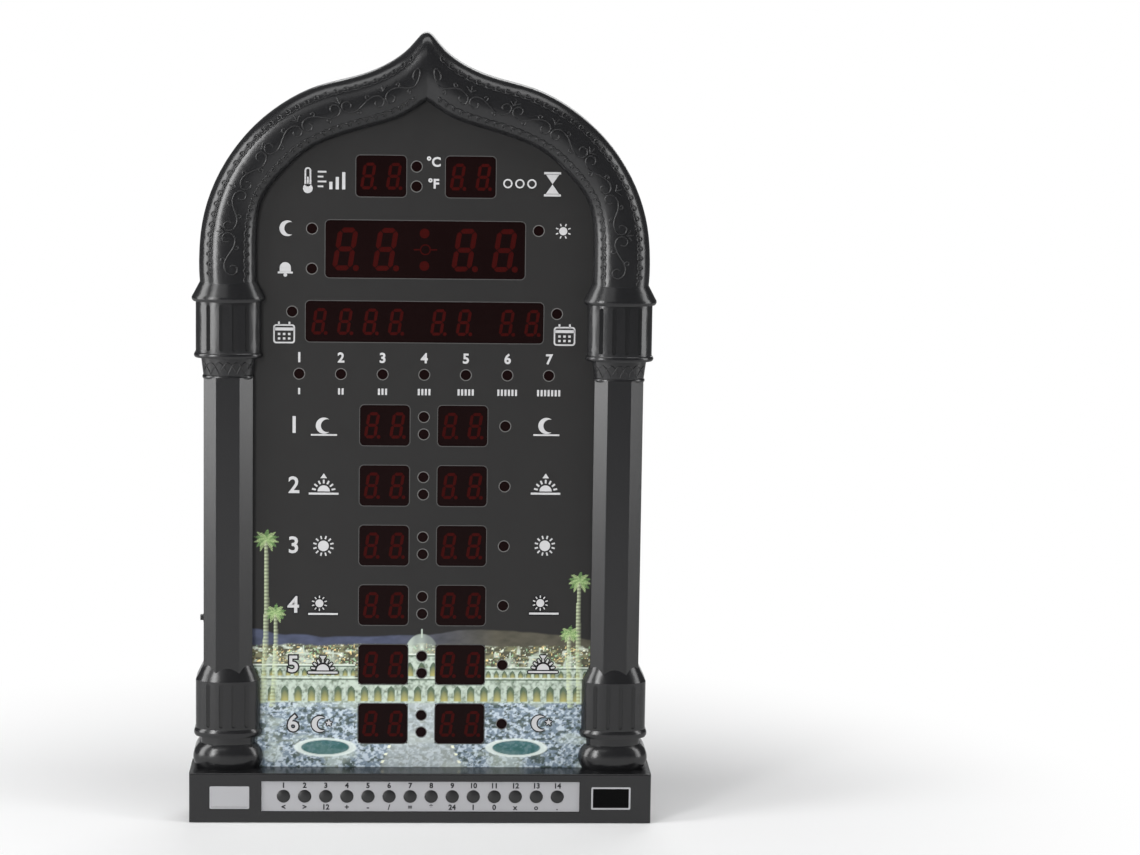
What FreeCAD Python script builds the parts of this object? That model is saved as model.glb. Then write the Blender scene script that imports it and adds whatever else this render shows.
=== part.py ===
import FreeCAD, Part
import math
import os

os.makedirs("parts", exist_ok=True)
V = FreeCAD.Vector

# Frame: origin under the middle of the footprint, +X to the right, +Y to the back, +Z up.
# All sizes are in millimetres.

# Overall size
overall_height = 425.0
overall_depth = 40.0
shell_depth = 34.0
plinth_width = 249.6
plinth_height = 27.2
plinth_edge = 0.8
wall = 2.4
front_wall = 3.2

# Arched rim
springing_z = 306.0
rim_outer_half = 120.2
rim_inner_half = 89.8
rim_apex_drop = 36.1
rim_proud = 8.6
rim_wall = 2.2
rim_root = 3.9

# Dial stack, measured from the front of the plinth to the back
face_setback = 16.0
panel_thickness = 1.0
filter_thickness = 1.2
carrier_thickness = 2.0
display_depth = 8.0
board_thickness = 1.6
panel_overlap = 3.0
sheet_reach = 2.0
carrier_overlap = 10.0
board_inset = 2.0
pane_gap = 0.1
drawn_face_height = 361.7

# Columns
column_x = 104.6
relief_ratio = 0.55
torus_radius = 18.8
torus_height = 13.4
torus_foot = 16.6
torus_lip = 0.6
column_root = 1.0
neck_radius = 14.6
neck_height = 4.2
bead_radius = 18.4
base_bead_height = 4.4
drum_radius = 17.45
base_drum_height = 26.4
base_cone_height = 8.8
shaft_half = 13.1
shaft_front_half = 6.3
shaft_proud = 7.6
shaft_side = 2.6
collar_radius = 13.9
collar_height = 2.4
bell_low_radius = 13.4
bell_top_radius = 14.6
bell_height = 9.1
capital_bead_height = 2.9
capital_drum_height = 27.3
ring_radius = 19.6
ring_height = 3.3
ring_low_step = 1.2
ring_top_step = 1.6
crown_radius = 15.2
crown_height = 7.3
capital_drop = 14.1
flute_width = 2.1
flute_depth = 0.8
flute_inner_x = 3.45
flute_outer_x = 10.35
flute_margin = 1.3

# Windows of the dial, heights above the plinth
window_height = 22.0
pair_width = 26.7
pair_x = 20.9
main_width = 106.5
main_window_height = 30.8
date_width = 127.2
window_corner = 2.2
row_count = 6
first_row_rise = 187.8
row_pitch = 32.74
main_rise = 282.6
date_rise = 243.7
top_rise = 321.6
top_pair_x = 23.8
day_rise = 215.4
day_count = 7
day_pitch = 22.3
lamp_hole = 5.6
lamp_size = 5.0
lamp_front_gap = 0.3
lamp_foot_height = 1.0
lamp_foot_rim = 0.8
row_colon_rise = 4.7
row_lamp_x = 43.8
top_colon_x = 5.0
top_colon_rise = 5.3
mode_lamp_x = 60.4
mode_lamp_rise = 10.7
date_lamp_x = 70.8
date_lamp_rise = 5.1

# Display modules
pair_module_width = 25.2
module_height = 19.0
main_module_width = 103.0
main_module_height = 28.5
year_module_width = 54.0
module_gap = 0.2
year_x = -35.9
month_x = 12.6
day_x = 49.6
main_figure = 22.9
main_inner_x = 21.2
main_outer_x = 42.5
small_figure = 14.2
year_pitch = 13.6
pair_pitch = 13.3
pair_shift = 0.25
figure_lean = 9.0
figure_bar = 0.11
figure_sink = 0.2

# Plinth front
strip_clear = 6.35
strip_end = 12.0
strip_gap = 0.2
strip_hole_gap = 0.05
strip_height = 16.5
strip_thickness = 0.4
strip_recess = 1.2
button_z = 14.45
button_count = 14
button_size = 6.8
button_gap = 0.15
button_top = 0.05
button_dome = 0.55
flange_size = 8.6
flange_thickness = 1.0
flange_gap = 0.05
stem_size = 3.2
stem_length = 2.2
plate_inset = 21.7
plate_z = 13.8
plate_width = 21.5
plate_height = 12.6
plate_gap = 0.1
plate_depth = 1.35
plate_recess = 1.4
plate_border = 0.9
plate_sink = 0.35
plate_corner = 0.8
plate_inner_corner = 0.4
sensor_pane_gap = 0.05
sensor_opening_width = 15.0
sensor_opening_height = 7.0

# Key board behind the plinth front
switch_size = 6.0
switch_height = 3.4
switch_front = 2.6
switch_bore_gap = 0.25
switch_bore_depth = 1.7
key_board_margin = 5.5
key_board_end = 11.8
key_board_low = 5.0
key_board_high = 23.5
key_post_size = 6.0
key_post_root = 0.5
key_post_left_offset = 8.5
key_post_right_offset = 10.5
sensor_width = 6.6
sensor_height = 7.2
sensor_depth = 4.6
sensor_lens = 4.8

# Rear cover
cover_wall = 2.0
cover_inset = 1.2
cover_plinth_inset = 2.6
cover_shoulder_drop = 1.2
cover_post_size = 9.6
boss_size = 7.0
screw_head = 6.0
screw_head_height = 2.0
screw_shank = 2.9
screw_length = 10.0
screw_gap = 0.1
screw_cross = 2.6
screw_cross_width = 0.7
screw_cross_depth = 0.8
cover_hole_gap = 0.5
free_gap = 0.6
boss_free = 1.0
thread_root = 2.0
pocket_size = 7.4
pocket_depth = 4.0
plinth_boss_inset = 6.8
plinth_boss_z = 6.6
small_head = 5.0
small_head_height = 1.8
small_shank = 2.4
post_size = 6.0
chassis_screw_length = 7.0
board_screw_length = 7.0
post_hole_floor = 1.0
chassis_boss_inset = 7.4
chassis_low_rise = 18.0
chassis_middle_rise = 16.8
chassis_top_rise = 20.0
cover_low_rise = 12.0
cover_middle_rise = 30.0
cover_top_rise = 6.0
cover_rim_inset = 14.0
board_post_inset = 9.8
board_post_rises = (25.0, 130.0, 228.0)
board_top_inset = 9.0
board_foot = 8.0
boss_root = 1.4
keyhole_x = 55.0
keyhole_z = 338.0
keyhole_head = 9.0
keyhole_slot = 4.5
keyhole_travel = 10.0
vent_x = 45.0
vent_z = 255.0
vent_pitch = 7.0
vent_length = 40.0
vent_height = 2.4
vent_corner = 1.1
vent_count = 6

# Speaker, backup cell and its door
speaker_z = 112.0
speaker_size = 50.0
speaker_flange = 1.5
speaker_depth = 9.0
magnet_size = 26.0
magnet_height = 3.4
speaker_hole = 2.6
speaker_pitch = 5.2
speaker_rings = 3
speaker_screw_spread = 21.0
speaker_screw_reach = 1.3
speaker_corner = 4.0
basket_inset = 3.0
cone_inset = 5.0
cone_foot = 12.0
cone_floor = 1.0
cell_z = 205.0
cell_size = 20.0
cell_thickness = 3.2
bay_size = 24.0
bay_wall = 1.6
bay_depth = 5.6
channel_pad = 3.0
door_width = 27.6
door_height = 30.0
door_lip = 1.0
door_gap = 0.15
door_travel = 14.0
door_flange = 0.7
door_sink = 0.1
grip_half = 6.0
grip_depth = 0.6
grip_start = 5.0
grip_pitch = 2.4
grip_width = 1.2
grip_count = 3

# Controls on the two sides
wheel_z = 107.0
wheel_radius = 13.0
wheel_reach = 1.1
wheel_thickness = 3.2
wheel_y = 9.8
wheel_nub = 1.5
wheel_nub_width = 2.7
wheel_gap = 0.35
wheel_ribs = 36
rib_groove = 1.3
rib_offset = 0.35
nub_root = 2.0
pot_size = 16.0
axle_size = 4.0
axle_gap = 0.05
slider_z = 126.0
slider_y = 8.0
slider_length = 6.0
slider_width = 3.0
slider_proud = 0.9
slider_travel = 2.5
slider_gap = 0.15
slider_rib_pitch = 1.4
slider_rib = 0.7
slider_end = 0.1
slider_end_gap = 0.2
switch_case_depth = 6.0
switch_case_length = 15.0
switch_case_width = 6.0
switch_case_floor = 1.2

# Power inlet
inlet_x = 88.0
inlet_z = 14.0
inlet_body = 11.0
inlet_depth = 11.0
inlet_nozzle = 9.4
inlet_bore = 5.7
inlet_bore_depth = 9.0
inlet_pin = 2.0
inlet_pin_sink = 1.3
inlet_pin_root = 0.5
inlet_sink = 0.2
inlet_gap = 0.15

# Flat cable
cable_width = 22.0
cable_thickness = 0.6
cable_x = -40.0
cable_z = 12.0
cable_rise = 14.0
cable_bow = 3.0

# Values that follow from the sizes above
front_y = -overall_depth / 2
rear_y = overall_depth / 2
shell_rear = front_y + shell_depth
lip_y = front_y + face_setback
panel_back = lip_y + panel_thickness
filter_back = panel_back + filter_thickness
carrier_back = filter_back + carrier_thickness
board_front = filter_back + display_depth
board_back = board_front + board_thickness
rise = overall_height - springing_z
inner_apex = overall_height - rim_apex_drop
inner_rise = inner_apex - springing_z
stretch = (inner_apex - plinth_height) / drawn_face_height
capital_top = springing_z - capital_drop
capital_total = collar_height + bell_height + capital_bead_height
capital_total += capital_drum_height + ring_height + crown_height
capital_bottom = capital_top - capital_total
cover_skin = rear_y - cover_wall
cavity_half = column_x + shaft_half - wall
plate_x = plinth_width / 2 - plate_inset
strip_width = 2 * (plate_x - plate_width / 2 - strip_clear)
button_pitch = (strip_width - 2 * strip_end) / (button_count - 1)
last_button_x = strip_width / 2 - strip_end
key_post_left = last_button_x + key_post_left_offset
key_post_right = last_button_x + key_post_right_offset
key_posts = (-key_post_left, key_post_right)
plinth_boss_x = plinth_width / 2 - plinth_boss_inset
shaft_middle = (plinth_height + capital_bottom) / 2

# Points up the arch from the springing, as shares of half-width and rise: outer edge and inner edge
# in pairs. Below them one pair stands straight down in the top of the capital.
outer_shares = [(1.0, 0.0), (0.984, 0.159), (0.925, 0.339), (0.812, 0.518), (0.669, 0.652),
                (0.4825, 0.753), (0.2995, 0.804), (0.178, 0.854), (0.0765, 0.929),
                (0.0366, 0.9756), (0.0141, 0.9958), (0.0, 1.0)]
inner_shares = [(1.0, 0.0), (0.994, 0.205), (0.957, 0.374), (0.861, 0.516), (0.713, 0.666),
                (0.512, 0.770), (0.312, 0.835), (0.173, 0.885), (0.078, 0.941),
                (0.0367, 0.972), (0.0140, 0.9897), (0.0, 1.0)]
foot_share = 0.993
foot_z = capital_top - rim_root
last_point = len(outer_shares)


def outer_point(index):
    if index == 0:
        return V(foot_share * rim_outer_half, 0, foot_z)
    share = outer_shares[index - 1]
    return V(share[0] * rim_outer_half, 0, springing_z + share[1] * rise)


def inner_point(index):
    if index == 0:
        return V(rim_inner_half, 0, foot_z)
    share = inner_shares[index - 1]
    return V(share[0] * rim_inner_half, 0, springing_z + share[1] * inner_rise)


def rim_direction(index):
    direction = outer_point(index) - inner_point(index)
    direction.normalize()
    return direction


def rim_point(index, from_inner):
    return inner_point(index) + rim_direction(index) * from_inner


def rim_point_inside(index, from_outer):
    return outer_point(index) - rim_direction(index) * from_outer


def at(point, y):
    return V(point.x, y, point.z)


def box(x0, x1, y0, y1, z0, z1):
    return Part.makeBox(x1 - x0, y1 - y0, z1 - z0, V(x0, y0, z0))


def rod(x, z, size, y0, y1):
    return Part.makeCylinder(size / 2, y1 - y0, V(x, y0, z), V(0, 1, 0))


def mirrored(shape):
    return shape.mirror(V(0, 0, 0), V(1, 0, 0))


def both_sides(shape):
    return [shape, mirrored(shape)]


def joined(shapes):
    result = shapes[0].multiFuse(shapes[1:]) if len(shapes) > 1 else shapes[0]
    return result.removeSplitter()


def pill(x, z, width, height, corner, y0, y1):
    """A plate with round corners, standing in the XZ plane."""
    plate = box(x - width / 2, x + width / 2, y0, y1, z - height / 2, z + height / 2)
    upright = [e for e in plate.Edges if abs(e.tangentAt(e.FirstParameter).y) > 0.99]
    return plate.makeFillet(corner, upright)


def save(name, shape):
    shape.exportStep("parts/" + name + ".step")


# Outline of the dial parts: straight sides below, the arch above
def arched_plate(half, bottom, arch_points, y0, y1, shoulder=None):
    right = [V(p.x, y0, p.z) for p in arch_points]
    left = [V(-p.x, y0, p.z) for p in reversed(arch_points)]
    curve = Part.BSplineCurve()
    curve.interpolate(right)
    mirror_curve = Part.BSplineCurve()
    mirror_curve.interpolate(left)
    start_z = right[0].z
    corners = [V(-half, y0, start_z), V(-half, y0, bottom), V(half, y0, bottom), V(half, y0, start_z)]
    if shoulder:
        wide, top = shoulder
        corners = [V(-half, y0, start_z), V(-half, y0, top), V(-wide, y0, top), V(-wide, y0, bottom),
                   V(wide, y0, bottom), V(wide, y0, top), V(half, y0, top), V(half, y0, start_z)]
    edges = [curve.toShape(), mirror_curve.toShape()]
    path = [left[-1]] + corners + [right[0]]
    for start, end in zip(path, path[1:]):
        if (start - end).Length > 0.001:
            edges.append(Part.makeLine(start, end))
    face = Part.Face(Part.Wire(Part.__sortEdges__(edges)))
    return face.extrude(V(0, y1 - y0, 0))


def inner_plate(overlap, bottom, y0, y1):
    points = [rim_point(i, overlap) for i in range(1, last_point + 1)]
    return arched_plate(rim_inner_half + overlap, bottom, points, y0, y1)


# Arched rim: half-round hollow bands set along the arch
def half_oval(end, front, middle):
    """Half of an oval from end round front. An ellipse takes its longer axis first."""
    if (end - middle).Length >= (front - middle).Length:
        return Part.Arc(Part.Ellipse(end, front, middle), 0, math.pi).toShape()
    far_end = middle * 2 - end
    return Part.Arc(Part.Ellipse(front, far_end, middle), -math.pi / 2, math.pi / 2).toShape()


def rim_section(index):
    start = inner_point(index)
    end = outer_point(index)
    across = rim_direction(index) * rim_wall
    middle = (start + end) * 0.5
    forward = V(0, -rim_proud, 0)
    inner_forward = V(0, -(rim_proud - rim_wall), 0)
    centre = at(middle, lip_y)
    edges = [Part.makeLine(at(end, shell_rear), at(end, lip_y)),
             half_oval(at(end, lip_y), centre + forward, centre),
             Part.makeLine(at(start, lip_y), at(start + across, lip_y)),
             half_oval(at(end - across, lip_y), centre + inner_forward, centre),
             Part.makeLine(at(end - across, lip_y), at(end - across, shell_rear)),
             Part.makeLine(at(end - across, shell_rear), at(end, shell_rear))]
    return Part.Wire(Part.__sortEdges__(edges))


def make_rim():
    sections = [rim_section(i) for i in range(last_point + 1)]
    return Part.makeLoft(sections, True, False)


# Columns: turned mouldings flattened to the front and run straight back to the shell edge
def moulding(z0, steps):
    """steps: (radius, height) pairs for straight lines, (mid radius, height, end radius) for bulges."""
    radius = steps[0][0]
    edges = []
    here = V(radius, 0, z0)
    start = here
    for step in steps[1:]:
        if len(step) == 2:
            there = V(step[0], 0, here.z + step[1])
            if (there - here).Length > 0.001:
                edges.append(Part.makeLine(here, there))
        else:
            there = V(step[2], 0, here.z + step[1])
            bulge = V(step[0], 0, here.z + step[1] / 2)
            edges.append(Part.Arc(here, bulge, there).toShape())
        here = there
    edges.append(Part.makeLine(here, V(0, 0, here.z)))
    edges.append(Part.makeLine(V(0, 0, here.z), V(0, 0, z0)))
    edges.append(Part.makeLine(V(0, 0, z0), start))
    face = Part.Face(Part.Wire(Part.__sortEdges__(edges)))
    turned = face.revolve(V(0, 0, 0), V(0, 0, 1), -180)
    squeeze = FreeCAD.Matrix()
    squeeze.scale(1, relief_ratio, 1)
    turned = turned.transformGeometry(squeeze)
    turned.translate(V(column_x, lip_y, 0))
    back = face.extrude(V(0, shell_rear - lip_y, 0))
    back.translate(V(column_x, lip_y, 0))
    return [turned, back]


def oval_prism(half, proud, z0, z1):
    """A half-oval prism in front of the dial plane, used to hollow the columns."""
    tall = Part.makeCylinder(half, z1 - z0, V(0, 0, z0), V(0, 0, 1))
    squeeze = FreeCAD.Matrix()
    squeeze.scale(1, proud / half, 1)
    tall = tall.transformGeometry(squeeze)
    tall.translate(V(column_x, lip_y, 0))
    return tall


def make_column():
    foot = plinth_height - column_root
    base = moulding(foot, [(torus_foot, 0), (torus_foot, column_root),
                           (torus_radius, torus_height, neck_radius + torus_lip),
                           (neck_radius, 0), (neck_radius, neck_height),
                           (drum_radius, 0), (bead_radius, base_bead_height, drum_radius),
                           (drum_radius, base_drum_height), (shaft_half, base_cone_height)])
    head = moulding(capital_bottom, [(shaft_half, 0), (collar_radius, collar_height, shaft_half),
                                     (bell_low_radius, 0), (bell_top_radius, bell_height),
                                     (drum_radius, 0), (bead_radius, capital_bead_height, drum_radius),
                                     (drum_radius, capital_drum_height),
                                     (drum_radius + ring_low_step, 0),
                                     (ring_radius, ring_height, drum_radius + ring_top_step),
                                     (crown_radius, crown_height)])
    base_top = plinth_height + torus_height + neck_height + base_bead_height
    base_top += base_drum_height + base_cone_height
    corners = [(-shaft_half, 0), (-shaft_half, -shaft_side), (-shaft_front_half, -shaft_proud),
               (shaft_front_half, -shaft_proud), (shaft_half, -shaft_side),
               (shaft_half, shell_rear - lip_y), (0, shell_rear - lip_y), (0, 0)]
    points = [V(column_x + c[0], lip_y + c[1], base_top - base_cone_height) for c in corners]
    outline = Part.Face(Part.makePolygon(points + [points[0]]))
    shaft = outline.extrude(V(0, 0, capital_bottom + collar_height / 2 - points[0].z))
    return base + [shaft] + head


def flutes(z0, z1):
    cuts = []
    for offset in (-flute_outer_x, -flute_inner_x, flute_inner_x, flute_outer_x):
        surface = lip_y - relief_ratio * math.sqrt(drum_radius ** 2 - offset ** 2)
        x = column_x + offset
        half = flute_width / 2
        low = z0 + flute_margin + half
        high = z1 - flute_margin - half
        cuts.append(box(x - half, x + half, front_y - 5, surface + flute_depth, low, high))
        for z in (low, high):
            cuts.append(rod(x, z, flute_width, front_y - 5, surface + flute_depth))
    return cuts


base_drum_z = plinth_height + torus_height + neck_height + base_bead_height
capital_drum_z = capital_bottom + collar_height + bell_height + capital_bead_height

# Screw places: rear cover, dial carrier and display board
column_screw_z = [base_drum_z + cover_low_rise, shaft_middle + cover_middle_rise,
                  capital_drum_z + cover_top_rise]
cover_spots = [(plinth_boss_x, plinth_boss_z)] + [(column_x, z) for z in column_screw_z]
for index in (4, 7):
    spot = rim_point(index, cover_rim_inset)
    cover_spots.append((spot.x, spot.z))
cover_spots += [(-x, z) for x, z in cover_spots]

chassis_spots = []
for z in (plinth_height + chassis_low_rise, shaft_middle + chassis_middle_rise,
          capital_drum_z + chassis_top_rise):
    chassis_spots.append((rim_inner_half + chassis_boss_inset, z))
for index in (3, 6):
    spot = rim_point(index, chassis_boss_inset)
    chassis_spots.append((spot.x, spot.z))
chassis_spots += [(-x, z) for x, z in chassis_spots]

board_spots = [(rim_inner_half - board_post_inset, plinth_height + z * stretch) for z in board_post_rises]
spot = rim_point(4, -board_top_inset)
board_spots.append((spot.x, spot.z))
board_spots += [(-x, z) for x, z in board_spots]

# Middles of the windows and lamps
row_z = [plinth_height + (first_row_rise - row_pitch * i) * stretch for i in range(row_count)]
main_z = plinth_height + main_rise * stretch
date_z = plinth_height + date_rise * stretch
top_z = plinth_height + top_rise * stretch
day_z = plinth_height + day_rise * stretch

windows = [(0, main_z, main_width, main_window_height), (0, date_z, date_width, window_height)]
windows += [(side * top_pair_x, top_z, pair_width, window_height) for side in (-1, 1)]
windows += [(side * pair_x, z, pair_width, window_height) for z in row_z for side in (-1, 1)]

lamps = [(0.0, z + side * row_colon_rise) for z in row_z for side in (-1, 1)]
lamps += [(row_lamp_x, z) for z in row_z]
lamps += [(-top_colon_x, top_z + side * top_colon_rise) for side in (-1, 1)]
lamps += [(-mode_lamp_x, main_z + side * mode_lamp_rise) for side in (-1, 1)]
lamps += [(mode_lamp_x, main_z + mode_lamp_rise)]
lamps += [(side * date_lamp_x, date_z + date_lamp_rise) for side in (-1, 1)]
lamps += [((i - (day_count - 1) / 2) * day_pitch, day_z) for i in range(day_count)]

button_xs = [(i - (button_count - 1) / 2) * button_pitch for i in range(button_count)]
plinth_wall_back = front_y + front_wall
switch_y = plinth_wall_back + switch_front
key_board_front = switch_y + switch_height

# Front shell: plinth, two columns and arched rim moulded in one piece
plinth = box(-plinth_width / 2, plinth_width / 2, front_y, shell_rear, 0, plinth_height)
front_edges = [e for e in plinth.Edges if abs(e.CenterOfMass.y - front_y) < 0.01]
plinth = plinth.makeFillet(plinth_edge, front_edges)

solids = [plinth]
for piece in make_column() + [make_rim()]:
    solids += both_sides(piece)
shell = joined(solids)

drum_hollow = drum_radius - wall
plinth_inside = plinth_width / 2 - wall
hollows = [box(-plinth_inside, plinth_inside, plinth_wall_back, shell_rear + 1, wall, plinth_height - wall),
           box(-cavity_half, cavity_half, lip_y, shell_rear + 1, plinth_height - wall - 1, capital_top)]
column_hollows = [oval_prism(shaft_half - wall, shaft_proud - wall, plinth_height - wall - 1,
                             capital_top + 1),
                  oval_prism(drum_hollow, relief_ratio * drum_radius - wall, base_drum_z + wall,
                             base_drum_z + base_drum_height - wall),
                  oval_prism(drum_hollow, relief_ratio * drum_radius - wall, capital_drum_z + wall,
                             capital_drum_z + capital_drum_height - wall)]
keep_front = box(0, plinth_width, front_y, lip_y, 0, overall_height)
for hollow in column_hollows:
    hollows += both_sides(hollow.common(keep_front))
for cut in flutes(base_drum_z, base_drum_z + base_drum_height):
    hollows += both_sides(cut)
for cut in flutes(capital_drum_z, capital_drum_z + capital_drum_height):
    hollows += both_sides(cut)
shell = shell.cut(hollows)


# Screw bosses inside the shell, each rooted in the front wall it stands on
def root_y(x, z):
    """Front of a boss: a little inside the moulding that lies in front of it."""
    if z < plinth_height:
        return plinth_wall_back - boss_root / 2
    if z > capital_top:
        return lip_y - rim_proud + boss_root
    offset = abs(abs(x) - column_x)
    low_drum = base_drum_z + wall < z < base_drum_z + base_drum_height - wall
    high_drum = capital_drum_z + wall < z < capital_drum_z + capital_drum_height - wall
    if low_drum or high_drum:
        return lip_y - relief_ratio * math.sqrt(drum_radius ** 2 - offset ** 2) + boss_root
    hollow = (shaft_proud - wall) * math.sqrt(1 - (offset / (shaft_half - wall)) ** 2)
    return lip_y - hollow - boss_root / 2


bosses = []
boss_holes = []
for x, z in cover_spots:
    bosses.append(rod(x, z, boss_size, root_y(x, z), shell_rear))
    boss_holes.append(rod(x, z, screw_shank + screw_gap, shell_rear - screw_length, shell_rear + 1))
for x, z in chassis_spots:
    start = root_y(x, z)
    if z > capital_top:
        start += boss_root
    bosses.append(rod(x, z, post_size, start, filter_back))
    boss_holes.append(rod(x, z, small_shank + screw_gap, filter_back - chassis_screw_length + thread_root,
                          filter_back + 1))
for x in key_posts:
    bosses.append(rod(x, button_z, key_post_size, plinth_wall_back - key_post_root, key_board_front))
    boss_holes.append(rod(x, button_z, small_shank + screw_gap, plinth_wall_back + key_post_root,
                          key_board_front + 1))
shell = shell.multiFuse(bosses)

# Openings in the shell for keys, plates, wheel and slide switch
cuts = boss_holes
recess_half = strip_width / 2 + strip_gap
cuts.append(box(-recess_half, recess_half, front_y - 1, front_y + strip_recess,
                button_z - strip_height / 2 - strip_gap, button_z + strip_height / 2 + strip_gap))
for x in button_xs:
    cuts.append(rod(x, button_z, button_size + 2 * button_gap, front_y, plinth_wall_back + 1))
for side in (-1, 1):
    cuts.append(pill(side * plate_x, plate_z, plate_width, plate_height, plate_corner, front_y - 1,
                     front_y + plate_recess))
sensor_x0 = plate_x - sensor_opening_width / 2
sensor_z0 = plate_z - sensor_opening_height / 2
cuts.append(box(sensor_x0, sensor_x0 + sensor_opening_width, front_y, plinth_wall_back + 1,
                sensor_z0, sensor_z0 + sensor_opening_height))
side_face = column_x + shaft_half
wheel_x = -(side_face + wheel_reach - wheel_radius)
wheel_sweep = wheel_radius + wheel_nub + wheel_gap
cuts.append(rod(wheel_x, wheel_z, 2 * wheel_sweep, wheel_y - wheel_thickness / 2 - wheel_gap,
                wheel_y + wheel_thickness / 2 + wheel_gap))
cuts.append(box(cavity_half - 1, side_face + 1, slider_y - slider_width / 2 - slider_gap,
                slider_y + slider_width / 2 + slider_gap, slider_z - slider_length / 2 - slider_gap,
                slider_z + slider_length / 2 + slider_travel + slider_gap))
shell = shell.cut(cuts)
save("front_shell", shell)

# Printed dial sheet with its window openings
sheet_bottom = plinth_height - wall - sheet_reach
panel = inner_plate(panel_overlap, sheet_bottom, lip_y, panel_back)
openings = [pill(x, z, w, h, window_corner, lip_y - 1, panel_back + 1) for x, z, w, h in windows]
openings += [rod(x, z, lamp_hole, lip_y - 1, panel_back + 1) for x, z in lamps]
save("front_panel", panel.cut(openings))

# Smoked filter: one sheet behind the dial with raised panes that fill the windows
smoked = inner_plate(panel_overlap, sheet_bottom, panel_back, filter_back)
panes = [pill(x, z, w - 2 * pane_gap, h - 2 * pane_gap, window_corner - pane_gap, lip_y, panel_back)
         for x, z, w, h in windows]
panes += [rod(x, z, lamp_hole - 2 * pane_gap, lip_y, panel_back) for x, z in lamps]
save("window_filter", smoked.multiFuse(panes).removeSplitter())

# Display modules, placed by name
modules = {"main_time_display": (0, main_z, main_module_width, main_module_height),
           "year_display": (year_x, date_z, year_module_width, module_height),
           "month_display": (month_x, date_z, pair_module_width, module_height),
           "day_display": (day_x, date_z, pair_module_width, module_height),
           "temperature_display": (-top_pair_x, top_z, pair_module_width, module_height),
           "countdown_display": (top_pair_x, top_z, pair_module_width, module_height)}
for index, z in enumerate(row_z):
    modules["row%d_hours_display" % (index + 1)] = (-pair_x, z, pair_module_width, module_height)
    modules["row%d_minutes_display" % (index + 1)] = (pair_x, z, pair_module_width, module_height)

# Dial carrier: the tray that holds filter, displays and lamps
carrier = inner_plate(carrier_overlap, sheet_bottom, filter_back, carrier_back)
posts = [rod(x, z, post_size, filter_back, board_front) for x, z in board_spots]
carrier = carrier.multiFuse(posts)
cuts = [box(x - w / 2 - module_gap, x + w / 2 + module_gap, filter_back - 1, carrier_back + 1,
            z - h / 2 - module_gap, z + h / 2 + module_gap) for x, z, w, h in modules.values()]
cuts += [rod(x, z, lamp_size + free_gap, filter_back - 1, carrier_back + 1) for x, z in lamps]
cuts += [rod(x, z, small_shank + free_gap, filter_back - 1, carrier_back + 1) for x, z in chassis_spots]
cuts += [rod(x, z, boss_size + boss_free, filter_back - 1, carrier_back + 1)
         for x, z in cover_spots if z > plinth_height]
post_hole_front = board_back - board_screw_length + post_hole_floor
cuts += [rod(x, z, small_shank + screw_gap, post_hole_front, board_front + 1) for x, z in board_spots]
save("dial_carrier", carrier.cut(cuts))


# Seven-segment module: a case with figure slots sunk in its face
def figure_slots(x, z, height, y):
    width = height * 0.5
    bar = height * figure_bar
    lean = math.tan(math.radians(figure_lean))
    slots = []
    for level in (-0.5, 0.0, 0.5):
        shift = lean * level * height
        slots.append((x + shift, z + level * (height - bar), width - 1.6 * bar, bar))
    for side in (-0.5, 0.5):
        for level in (-0.25, 0.25):
            shift = lean * level * height
            slots.append((x + side * (width - bar) + shift, z + level * (height - bar), bar,
                          height / 2 - 1.6 * bar))
    return [box(sx - sw / 2, sx + sw / 2, y - 1, y + figure_sink, sz - sh / 2, sz + sh / 2)
            for sx, sz, sw, sh in slots]


def digit_places(name, x):
    if name == "main_time_display":
        return [(x + d, main_figure) for d in (-main_outer_x, -main_inner_x, main_inner_x, main_outer_x)]
    if name == "year_display":
        return [(x + (i - 1.5) * year_pitch, small_figure) for i in range(4)]
    return [(x + pair_shift + side * pair_pitch / 2, small_figure) for side in (-1, 1)]


for name, place in modules.items():
    x, z, w, h = place
    module = box(x - w / 2, x + w / 2, filter_back, board_front, z - h / 2, z + h / 2)
    slots = []
    for digit_x, figure in digit_places(name, x):
        slots += figure_slots(digit_x, z, figure, filter_back)
    save(name, module.cut(slots))

# Round lamps, one solid each
lamp_solids = []
for x, z in lamps:
    body = rod(x, z, lamp_size, filter_back + lamp_front_gap, board_front - lamp_foot_height)
    rim = rod(x, z, lamp_size + lamp_foot_rim, board_front - lamp_foot_height, board_front)
    lamp_solids.append(joined([body, rim]))
save("indicator_lamps", Part.makeCompound(lamp_solids))

# Display board
board = inner_plate(-board_inset, plinth_height + board_foot, board_front, board_back)
cuts = [rod(x, z, small_shank + free_gap, board_front - 1, board_back + 1) for x, z in board_spots]
save("display_board", board.cut(cuts))

# Keys: domed caps that slide back through the plinth wall
cap_front = front_y + button_top
flange_front = plinth_wall_back + flange_gap
stem_end = flange_front + flange_thickness + stem_length


def make_button(x):
    cap = rod(x, button_z, button_size, cap_front + button_dome, flange_front + flange_gap)
    sphere_radius = ((button_size / 2) ** 2 + button_dome ** 2) / (2 * button_dome)
    ball = Part.makeSphere(sphere_radius, V(x, cap_front + sphere_radius, button_z))
    dome = ball.common(rod(x, button_z, button_size, cap_front - 0.1, cap_front + button_dome))
    flange = rod(x, button_z, flange_size, flange_front, flange_front + flange_thickness)
    stem = rod(x, button_z, stem_size, flange_front, stem_end)
    return joined([dome, cap, flange, stem])


for index, x in enumerate(button_xs):
    save("button_%02d" % (index + 1), make_button(x))

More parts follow.
